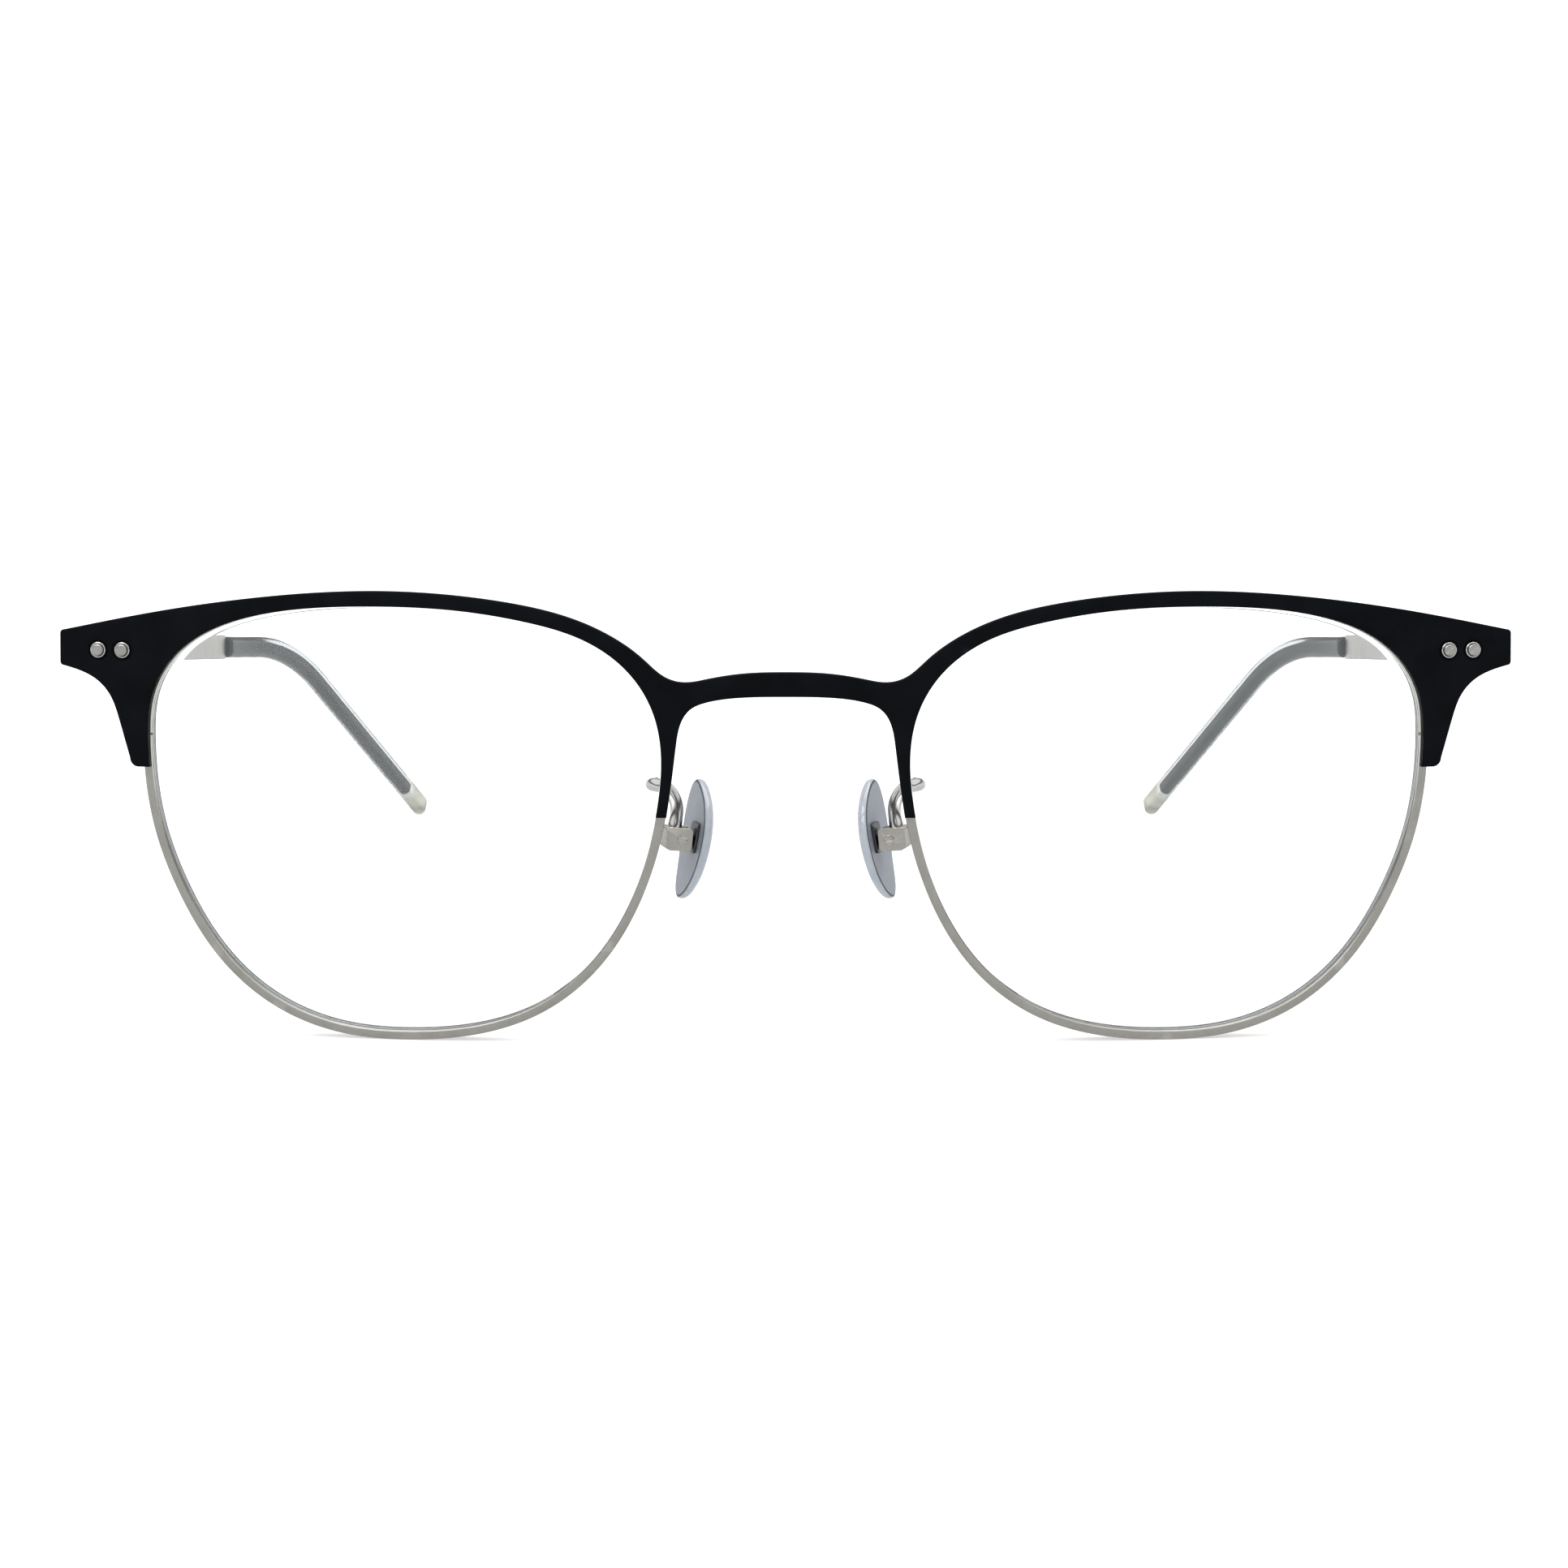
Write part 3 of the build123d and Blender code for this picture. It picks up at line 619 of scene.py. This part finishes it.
BLACK = black_paint()
RIM = metal("rim_silver", (0.46, 0.45, 0.415), (0.56, 0.545, 0.505), (0.28, 0.38), grain=5.0)
TEMPLE = metal("temple_silver", (0.66, 0.64, 0.62), (0.76, 0.745, 0.72), (0.28, 0.38),
               brushed=(1.0, 0.03, 1.0), grain=9.0, depth=0.002)
HINGE = metal("hinge_metal", (0.42, 0.42, 0.42), (0.56, 0.56, 0.555), (0.22, 0.34), grain=5.0)
RIVET = metal("rivet_metal", (0.46, 0.455, 0.44), (0.60, 0.59, 0.57), (0.26, 0.40),
              brushed=(1.0, 1.0, 0.08), grain=12.0)
CHROME = metal("bright_metal", (0.66, 0.655, 0.64), (0.74, 0.735, 0.72), (0.07, 0.13),
               grain=3.0, depth=0.002)
PADBOX = metal("pad_metal", (0.48, 0.465, 0.42), (0.58, 0.565, 0.52), (0.24, 0.36), grain=6.0)
INSERT = metal("insert_dark", (0.05, 0.053, 0.058), (0.09, 0.093, 0.1), (0.16, 0.26), grain=6.0)
CORE = soft_plastic("core_grey", (0.017, 0.026, 0.029), (0.025, 0.036, 0.040), (0.45, 0.55), 0.0,
                    ior=1.12, grain=3.0, depth=0.001)
LENS_MAT = lens_glass()
LENS_EDGE = ground_edge()
SLEEVE = sleeve_plastic()
PAD = soft_plastic("pad_clear", (0.46, 0.50, 0.56), (0.52, 0.56, 0.62), (0.05, 0.09), 0.35,
                   grain=0.5, depth=0.002, coat=0.8)
# painted shade: a darker, rougher, uncoated copy of pad_clear for the pad's flat face
PAD_FLAT_SHADE = soft_plastic("pad_flat_shade", (0.26, 0.29, 0.335), (0.30, 0.33, 0.375), (0.30, 0.38), 0.0,
                        grain=0.5, depth=0.002)
# painted shade: a near-black copy of pad_clear, a dark line along the rolled edge of the flat face
# where the clear silicone looks dark
PAD_RIDGE_SHADE = soft_plastic("pad_ridge_shade", (0.06, 0.075, 0.095), (0.08, 0.095, 0.12), (0.16, 0.24), 0.0,
                         grain=0.5, depth=0.002)


# ------------------------------------------------------------------ brow plate

def brow_outline():
    """Closed outline of the plate in (x, z), clockwise with x right and z up."""
    def half_of(points, count):
        both = [(-x, z) for x, z in reversed(points)] + points[1:]
        return spline(both, count * 2 + 1)[count:]

    start = next(i for i in range(len(LENS)) if LENS[i, 0] > TEMPORAL_SIDE_X
                 and LENS[i - 1, 1] <= TEMPORAL_CUT < LENS[i, 1])
    upper_lens = np.roll(LENS, -start, 0)
    stop = next(i for i in range(len(upper_lens)) if upper_lens[i, 1] < NASAL_CUT)

    lens_edge = np.vstack([at_height(upper_lens[-1], upper_lens[0], TEMPORAL_CUT),
                           upper_lens[:stop],
                           at_height(upper_lens[stop - 1], upper_lens[stop], NASAL_CUT)])
    half = np.vstack([
        half_of(BROW_TOP, 190)[:-1],
        arc3(*TIP_TOP_CORNER, 6),
        TIP_FACE,
        arc3(*TIP_LOW_CORNER, 6)[:-1],
        spline(ENDPIECE_LOWER, 34)[:-1],
        arc3(*LEG_CORNER, 8),
        [(LEG_FOOT_X, TEMPORAL_CUT)],
        lens_edge,
        [(NASAL_FOOT_X, NASAL_CUT)],
        half_of(BRIDGE_LOWER, 60)[::-1],
    ])
    other = half[1:-1][::-1] * [-1, 1]
    return np.vstack([half, other])


def brow_plate():
    """Plate on the front sphere with rolled edges and a recessed hole for each rivet."""
    shape = Shape()
    outline = brow_outline()[::-1]
    edge = PLATE_EDGE + [(inset, PLATE_THICK - depth) for inset, depth in reversed(PLATE_EDGE)]
    rings, flats = [], []
    for inset, depth in edge:
        loop = mitred(outline, inset)
        flats.append(loop)
        rings.append(shape.add(on_front(loop[:, 0], loop[:, 1], depth)))
    for a, b in zip(rings, rings[1:]):
        shape.bridge(a, b)
    low, high = np.floor(outline.min(0)), np.ceil(outline.max(0))
    xs, zs = np.meshgrid(np.arange(low[0] + 1, high[0], FILL_STEP),
                         np.arange(low[1], high[1] + 1, FILL_STEP))
    grid = np.stack([xs, zs], -1).reshape(-1, 2)
    grid = grid[inside(grid, mitred(outline, FILL_MARGIN))]
    recess = [(RECESS_R + 0.05, 0.0), (RECESS_R + 0.015, 0.02), (RECESS_R - 0.01, 0.06),
              (RECESS_R - 0.03, RECESS_DEPTH), (PIN_R + 0.01, RECESS_DEPTH),
              (PIN_R + 0.005, RECESS_DEPTH + 0.02), (PIN_R + 0.005, PLATE_THICK)]
    holes = []
    for x, z in RIVETS:
        for s in (1, -1):
            axis = on_front(s * x, z, 0.0) - on_front(s * x, z, 1.0)
            foot = on_front(s * x, z, 0.0)
            levels = lathe(shape, foot, axis, [(r, -d) for r, d in recess], 40)
            for a, b in zip(levels, levels[1:]):
                shape.bridge(a, b)
            holes.append((levels[0], levels[-1]))
    for side, depth in ((0, 0.0), (-1, PLATE_THICK)):
        loops = [(rings[side], flats[side])]
        for hole in holes:
            ids = hole[side]
            loops.append((ids, to_outline(np.array([shape.verts[i] for i in ids]))))
        keep = np.ones(len(grid), bool)
        for ids, loop in loops[1:]:
            clear = np.ptp(loop[:, 0]) / 2 + HOLE_MARGIN
            keep &= np.linalg.norm(grid - loop.mean(0), axis=1) > clear
        inner = grid[keep]
        ids = sum((list(i) for i, _ in loops), [])
        ids += shape.add(on_front(inner[:, 0], inner[:, 1], depth))
        flat = np.vstack([loop for _, loop in loops] + [inner])
        sides, first = [], 0
        for _, loop in loops:
            n = len(loop)
            sides += [(first + i, first + (i + 1) % n) for i in range(n)]
            first += n
        filled = delaunay_2d_cdt([Vector(p) for p in flat], sides, [], 0, 1e-6, True)
        where = [originals[0] for originals in filled[3]]
        tris = np.array([[where[v] for v in face] for face in filled[2]])
        mid = flat[tris].mean(1)
        good = inside(mid, loops[0][1])
        for _, loop in loops[1:]:
            good &= ~inside(mid, loop)
        shape.faces += [tuple(ids[v] for v in t) for t in tris[good]]
    return shape.piece("brow_plate", BLACK, "front", "brow_black", ["brow_front"])


# ------------------------------------------------------------------ rims and lenses

def rounded_profile(corners, steps=3):
    """2-D closed profile with each corner (x, y, radius) rounded."""
    pts = []
    n = len(corners)
    for i, (x, y, r) in enumerate(corners):
        here = np.array([x, y])
        back = np.array(corners[i - 1][:2]) - here
        ahead = np.array(corners[(i + 1) % n][:2]) - here
        back, ahead = back / np.linalg.norm(back), ahead / np.linalg.norm(ahead)
        a, b = here + back * r, here + ahead * r
        for k in range(steps + 1):
            t = k / steps
            pts.append((1 - t) ** 2 * a + 2 * t * (1 - t) * here + t * t * b)
    return np.array(pts)


RIM_PROFILE = rounded_profile([
    (0.0, PLATE_THICK, 0.07), (0.0, RIM_MID - GROOVE_MOUTH, 0.03),
    (GROOVE_DEPTH, RIM_MID - GROOVE_FLOOR, 0.05), (GROOVE_DEPTH, RIM_MID + GROOVE_FLOOR, 0.05),
    (0.0, RIM_MID + GROOVE_MOUTH, 0.03), (0.0, RIM_BACK, 0.07),
    (RIM_WIDTH, RIM_BACK, 0.16), (RIM_WIDTH, PLATE_THICK, 0.16),
])


def eyewire(mirror):
    """Grooved rim that runs round the lens from one side of its slit to the other."""
    shape = Shape()
    start = next(i for i in range(1, len(LENS)) if LENS[i, 0] > TEMPORAL_SIDE_X
                 and LENS[i, 1] > SLIT_Z + 0.1)
    path, out = np.roll(LENS, -start, 0), np.roll(LENS_OUT, -start, 0)
    last = max(i for i in range(len(path)) if path[i, 0] > TEMPORAL_SIDE_X
               and path[i, 1] < SLIT_Z - 0.1)
    upper = at_height(path[0], path[1], SLIT_Z + SLIT_HALF)
    lower = at_height(path[last], path[last - 1], SLIT_Z - SLIT_HALF)
    path = np.vstack([upper, path[:last + 1], lower])
    out = np.vstack([out[0], out[:last + 1], out[last]])
    loops = []
    for p, n in zip(path, out):
        q = p + n * RIM_PROFILE[:, :1]
        loops.append(on_front(q[:, 0], q[:, 1], RIM_PROFILE[:, 1]))
    shape.tube(loops)
    side = "right" if mirror else "left"
    return shape.piece("rim_" + side, RIM, "front", "rim_silver", ["eyewire_" + side], mirror)


def lens(mirror):
    """Curved clear pane whose frosted bevel sits in the rim's groove."""
    shape = Shape()
    front, back = RIM_MID - LENS_THICK / 2, RIM_MID + LENS_THICK / 2
    edge = [(offset, RIM_MID - away) for offset, away in LENS_EDGE_HALF]
    edge += [(offset, RIM_MID + away) for offset, away in reversed(LENS_EDGE_HALF)]
    rim_of_face = LENS + LENS_EDGE_HALF[0][0] * LENS_OUT

    def face(depth):
        """Loops of the pane's face, from the edge to the middle."""
        loops = []
        for k in LENS_RINGS:
            q = LENS_MIDDLE + (rim_of_face - LENS_MIDDLE) * k
            loops.append(on_front(q[:, 0], q[:, 1], depth))
        return loops

    loops = face(front)[::-1]
    for offset, depth in edge:
        q = LENS + LENS_OUT * offset
        loops.append(on_front(q[:, 0], q[:, 1], depth))
    loops += face(back)
    rings = shape.tube(loops, caps=False)
    for ring, depth, flip in ((rings[0], front, True), (rings[-1], back, False)):
        centre = shape.add(on_front(*LENS_MIDDLE, depth))[0]
        for i in range(len(ring)):
            a, b = ring[i], ring[(i + 1) % len(ring)]
            shape.faces.append((b, a, centre) if flip else (a, b, centre))
    side = "right" if mirror else "left"
    obj = shape.piece("lens_pane_" + side, LENS_MAT, "front", "lens_clear", ["lens_" + side],
                      mirror)
    obj.data.materials.append(LENS_EDGE)
    first = (len(LENS_RINGS) + LENS_POLISHED) * len(LENS)
    ground_bands = len(edge) - 1 - 2 * LENS_POLISHED
    for ground in obj.data.polygons[first:first + ground_bands * len(LENS)]:
        ground.material_index = 1


# ------------------------------------------------------------------ rivets

def rivets(mirror):
    """Two brushed pins, each standing in a bright rolled collar in the plate's recess."""
    side = "right" if mirror else "left"
    pins, rings = Shape(), Shape()
    for x, z in RIVETS:
        foot = on_front(x, z, 0.0)
        axis = foot - on_front(x, z, 1.0)
        profile = [(PIN_R, -PIN_DEPTH), (PIN_R, PIN_PROUD - 0.10),
                   (PIN_R - 0.015, PIN_PROUD - 0.055),
                   (PIN_R - 0.05, PIN_PROUD - 0.015), (PIN_R - 0.10, PIN_PROUD),
                   (PIN_R * 0.6, PIN_PROUD + 0.004), (PIN_R * 0.25, PIN_PROUD + 0.006)]
        levels = lathe(pins, foot, axis, profile, 48)
        for a, b in zip(levels, levels[1:]):
            pins.bridge(a, b)
        pins.faces.append(tuple(levels[0]))
        pins.faces.append(tuple(levels[-1]))
        inner, outer = PIN_R + COLLAR_CLEARANCE, COLLAR_R
        mid, half = (inner + outer) / 2, (outer - inner) / 2
        profile = [(outer, -RECESS_DEPTH), (outer, -0.02)]
        profile += [(mid + half * math.cos(t), half * 0.75 * math.sin(t) - 0.02)
                    for t in np.linspace(0.3, math.pi - 0.3, 7)]
        profile += [(inner, -0.02), (inner, -RECESS_DEPTH)]
        levels = lathe(rings, foot, axis, profile, 48)
        for a, b in zip(levels, levels[1:] + levels[:1]):
            rings.bridge(a, b)
    pins.piece("rivets_" + side, RIVET, "front", "rivet_metal", ["rivet_pins_" + side], mirror)
    rings.piece("rivet_rings_" + side, CHROME, "front", "bright_metal",
                ["rivet_collars_" + side], mirror)


# ------------------------------------------------------------------ temples

def temple_loop(w, section):
    """Section (out, up) across the temple line at w, in the layout."""
    centre, out, up = temple_frame(w)
    return temple_place(centre + section[:, :1] * out + section[:, 1:] * up)


def bar(start, end, half_thick, half_high, corner, round_start, round_end, steps=5, step=0.9):
    """Loops of a bar along the temple line, its ends rounded; half_high takes the place along it."""
    quarter = [math.radians(15 * k) for k in range(7)]
    straight_from, straight_to = start + round_start, end - round_end
    count = max(2, int((straight_to - straight_from) / step))
    stations = [(start + round_start * (1 - math.cos(t)), round_start * (1 - math.sin(t)))
                for t in quarter]
    stations += [(straight_from + (straight_to - straight_from) * i / count, 0.0)
                 for i in range(1, count)]
    stations += [(straight_to + round_end * math.sin(t), round_end * (1 - math.cos(t)))
                 for t in quarter]
    loops = []
    for w, inset in stations:
        a, b = half_thick - inset, half_high(w) - inset
        loops.append(temple_loop(w, rounded_rect(a, b, max(corner - inset, 0.02), steps)))
    return loops


def strip_half(w):
    """Half height of the strip, which tapers to the rear."""
    share = (w - TEMPLE_START + TAPER_MARGIN) / (STRIP_END - TEMPLE_START + 2 * TAPER_MARGIN)
    return (STRIP_FRONT_H + (STRIP_REAR_H - STRIP_FRONT_H) * share) / 2


def core_half(w):
    """Half height of the core wire, the same all along."""
    return CORE_H / 2


def sleeve_half(w):
    """Half height of the sleeve and its ferrule, the same all along."""
    return SLEEVE_H / 2


def temple(mirror):
    """Metal strip, the core wire behind it, and the ferrule and sleeve around the wire; the
    ferrule's dark colour is painted shade at the sleeve's front end.
    """
    side = "right" if mirror else "left"
    body = "temple_%s_arm" % side
    strip, core, ferrule, sleeve = Shape(), Shape(), Shape(), Shape()
    strip.tube(bar(TEMPLE_START, STRIP_END, STRIP_THICK / 2, strip_half, 0.17, 0.28, 0.04, step=1.2))
    core.tube(bar(STRIP_END, CORE_END, CORE_THICK / 2, core_half, 0.3, 0.02, 0.25))
    ferrule.tube(bar(STRIP_END, SLEEVE_START, SLEEVE_THICK / 2, sleeve_half,
                     SLEEVE_CORNER, 0.16, 0.10, step=0.4))
    sleeve.tube(bar(SLEEVE_START + SLEEVE_GAP, TIP_END, SLEEVE_THICK / 2, sleeve_half,
                    SLEEVE_CORNER, 0.10, 0.72, steps=7))
    strip.piece("temple_strip_" + side, TEMPLE, body, "temple_silver", ["temple_" + side], mirror)
    core.piece("core_wire_" + side, CORE, body, "core_grey", ["temple_core_" + side], mirror)
    # painted shade: the ferrule takes the dark core colour to stand for the shade where the sleeve
    # starts
    ferrule.piece("ferrule_" + side, CORE, body, "core_grey", ["temple_ferrule_" + side], mirror)
    sleeve.piece("sleeve_" + side, SLEEVE, body, "sleeve_clear", ["temple_sleeve_" + side], mirror)


# ------------------------------------------------------------------ nose pads

def pad_place(points, flare=PAD_FLARE):
    """Pad frame to layout: Y along the pad screw, Z up the pad, -X towards the nose."""
    p = np.asarray(points, float)
    c, s = math.cos(flare), math.sin(flare)
    x, z = p[..., 0] * c - p[..., 2] * s, p[..., 0] * s + p[..., 2] * c
    y = p[..., 1]
    c, s = math.cos(PAD_SPLAY), math.sin(PAD_SPLAY)
    return PAD_PIVOT + np.stack([x * c + y * s, -x * s + y * c, z], -1)


def nose_pad(mirror):
    """Soft D-shaped pad: flat on the lens side, domed to the nose, edge rolled over."""
    side = "right" if mirror else "left"
    shape = Shape()
    outline = spline(PAD_OUTLINE, 120, closed=True)
    flat_x = -PAD_OFFSET + PAD_THICK / 2
    loops = []
    for k, depth in PAD_PROFILE:
        q = PAD_MIDDLE + (outline - PAD_MIDDLE) * k
        loops.append(pad_place(np.stack([np.full(len(q), flat_x - depth), q[:, 0], q[:, 1]], 1)))
    shape.tube(loops)
    obj = shape.piece("nose_pad_oval_" + side, PAD, "pad_" + side, "pad_clear",
                      ["nose_pad_" + side], mirror)
    obj.data.materials.append(PAD_FLAT_SHADE)
    obj.data.materials.append(PAD_RIDGE_SHADE)
    flat_bands = sum(depth == 0.0 for _, depth in PAD_PROFILE) - 1
    flat_end = flat_bands * len(outline)
    ridge_end = (flat_bands + 2) * len(outline)
    flat_cap = (len(PAD_PROFILE) - 1) * len(outline)
    for i, face in enumerate(obj.data.polygons):
        # the flat face takes the painted-shade copy of the pad material
        if i < flat_end or i == flat_cap:
            face.material_index = 1
        # the two bands round the flat face's edge take the painted dark line
        elif i < ridge_end:
            face.material_index = 2


def pad_arm(mirror):
    """Gooseneck wire from the rim to the pad box, a little thicker where it enters the box."""
    side = "right" if mirror else "left"
    start = on_front(*ARM_ROOT, RIM_BACK - ARM_SINK)
    end = pad_place(ARM_TOP_IN_BOX, BOX_FLARE)
    ends = [v / np.linalg.norm(v) for v in (ARM_LEAVES, ARM_ENTERS)]
    path = spline([start, *ARM_BENDS, end], 90, ends=ends)
    ahead = np.gradient(path, axis=0)
    ahead /= np.linalg.norm(ahead, axis=1)[:, None]
    side_dir = np.cross(ahead[0], [0, 0, 1.0])
    turn = np.linspace(0, 2 * math.pi, 28, endpoint=False)
    shape, loops = Shape(), []
    length = np.concatenate([[0], np.cumsum(np.linalg.norm(np.diff(path, axis=0), axis=1))])
    for p, t, s in zip(path, ahead, length):
        side_dir = side_dir - t * (side_dir @ t)
        side_dir /= np.linalg.norm(side_dir)
        other = np.cross(t, side_dir)
        near_box = math.exp(-((length[-1] - s) / ARM_SWELL_REACH) ** 2)
        r = ARM_R * (1 + ARM_SWELL * near_box)
        loops.append(p + r * (np.cos(turn)[:, None] * side_dir + np.sin(turn)[:, None] * other))
    shape.tube(loops)
    shape.piece("pad_wire_" + side, CHROME, "front", "bright_metal", ["pad_arm_" + side], mirror)


# ------------------------------------------------------------------ making everything

brow_plate()
for flip, side in ((False, "left"), (True, "right")):
    arm = "temple_%s_arm" % side
    eyewire(flip)
    lens(flip)
    rivets(flip)
    temple(flip)
    nose_pad(flip)
    pad_arm(flip)
    softened("rim_lock_upper_" + side, "lock_top_" + side, RIM, "front", 0.14)
    softened("rim_lock_lower_" + side, "lock_base_" + side, RIM, "front", 0.14)
    softened("rim_screw_" + side, "lock_screw_" + side, CHROME, "front", 0.05)
    softened("hinge_front_" + side, "front_leaf_" + side, HINGE, "front", 0.07)
    softened("hinge_screw_" + side, "hinge_pin_" + side, CHROME, "front", 0.05)
    softened("hinge_temple_" + side, "temple_leaf_" + side, HINGE, arm, 0.07)
    softened("pad_box_" + side, "pad_saddle_" + side, PADBOX, "front", 0.16, 4)
    softened("pad_screw_" + side, "saddle_screw_" + side, PADBOX, "front", 0.04)
    softened("pad_insert_" + side, "pad_tab_" + side, INSERT, "pad_" + side, 0.05)


# ------------------------------------------------------------------ studio

CAMERA_AT = (-0.155, -416.78, 90.83)
CAMERA_DOWN_DEG = 8.886


def floor():
    """Large pale floor that shows only faint shadows."""
    bpy.ops.mesh.primitive_plane_add(size=30.0, location=(0, 0, 0))
    obj = bpy.context.object
    obj.name = "floor"
    mat, tree, bsdf = new_material("floor_pale")
    cloud = noise(tree, 0.002, detail=2)
    tree.links.new(ramp(tree, cloud, [(0.3, grey(0.58)), (0.7, grey(0.61))]),
                   bsdf.inputs["Base Color"])
    bsdf.inputs["Roughness"].default_value = 0.9
    bsdf.inputs["Emission Color"].default_value = (1, 1, 1, 1)
    bsdf.inputs["Emission Strength"].default_value = 0.5
    bsdf.inputs["Specular IOR Level"].default_value = 0.1
    obj.data.materials.append(mat)
    obj.visible_glossy = False


def world():
    """White studio; shining surfaces see a bright ceiling, a dark band and a grey floor."""
    made = bpy.data.worlds.new("studio")
    bpy.context.scene.world = made
    made.use_nodes = True
    tree = made.node_tree
    back = tree.nodes["Background"]
    source = node(tree, "ShaderNodeTexCoord").outputs["Generated"]
    split = node(tree, "ShaderNodeSeparateXYZ", [(0, source)])

    def share(axis):
        return node(tree, "ShaderNodeMapRange", [(0, split.outputs[axis])],
                    From_Min=-1.0, From_Max=1.0).outputs[0]

    height = ramp(tree, share("Z"), [
        (0.0, grey(0.50)), (0.36, grey(0.58)), (0.47, grey(0.70)), (0.545, grey(0.76)),
        (0.575, grey(0.10)), (0.63, grey(0.08)), (0.67, grey(0.80)), (1.0, grey(0.82))])
    depth = ramp(tree, share("Y"), [(0.0, grey(0.92)), (0.5, grey(1.0))])
    seen = node(tree, "ShaderNodeMix", [(6, height), (7, depth)],
                data_type="RGBA", blend_type="MULTIPLY")
    seen.inputs[0].default_value = 1.0
    glossy = node(tree, "ShaderNodeLightPath").outputs["Is Glossy Ray"]
    tree.links.new(mixed(tree, glossy, (1.0, 1.0, 1.0), seen.outputs[2]), back.inputs["Color"])
    back.inputs["Strength"].default_value = 1.12


def area(name, location, target, size, power):
    """Rectangular softbox that points at target."""
    data = bpy.data.lights.new(name, "AREA")
    data.shape = "RECTANGLE"
    data.size, data.size_y = size
    data.energy = power
    obj = bpy.data.objects.new(name, data)
    bpy.context.scene.collection.objects.link(obj)
    obj.location = location
    aim = Vector(target) - Vector(location)
    obj.rotation_euler = aim.to_track_quat("-Z", "Y").to_euler()


def camera():
    """Camera straight in front of the glasses, looking slightly down."""
    data = bpy.data.cameras.new("camera")
    data.lens, data.sensor_width = 100.98, 36.0
    data.clip_start, data.clip_end = 0.01, 50.0
    obj = bpy.data.objects.new("camera", data)
    obj.location = place(CAMERA_AT).tolist()
    obj.rotation_euler = (math.radians(90 - CAMERA_DOWN_DEG), 0, 0)
    bpy.context.scene.collection.objects.link(obj)
    bpy.context.scene.camera = obj


floor()
world()
area("key", (-0.5, -0.5, 0.9), (0, 0, 0), (0.7, 0.7), 5.0)
area("top", (0.2, 0.3, 1.1), (0, 0, 0), (1.2, 0.8), 6.0)
camera()
bpy.context.scene.view_settings.view_transform = "Standard"
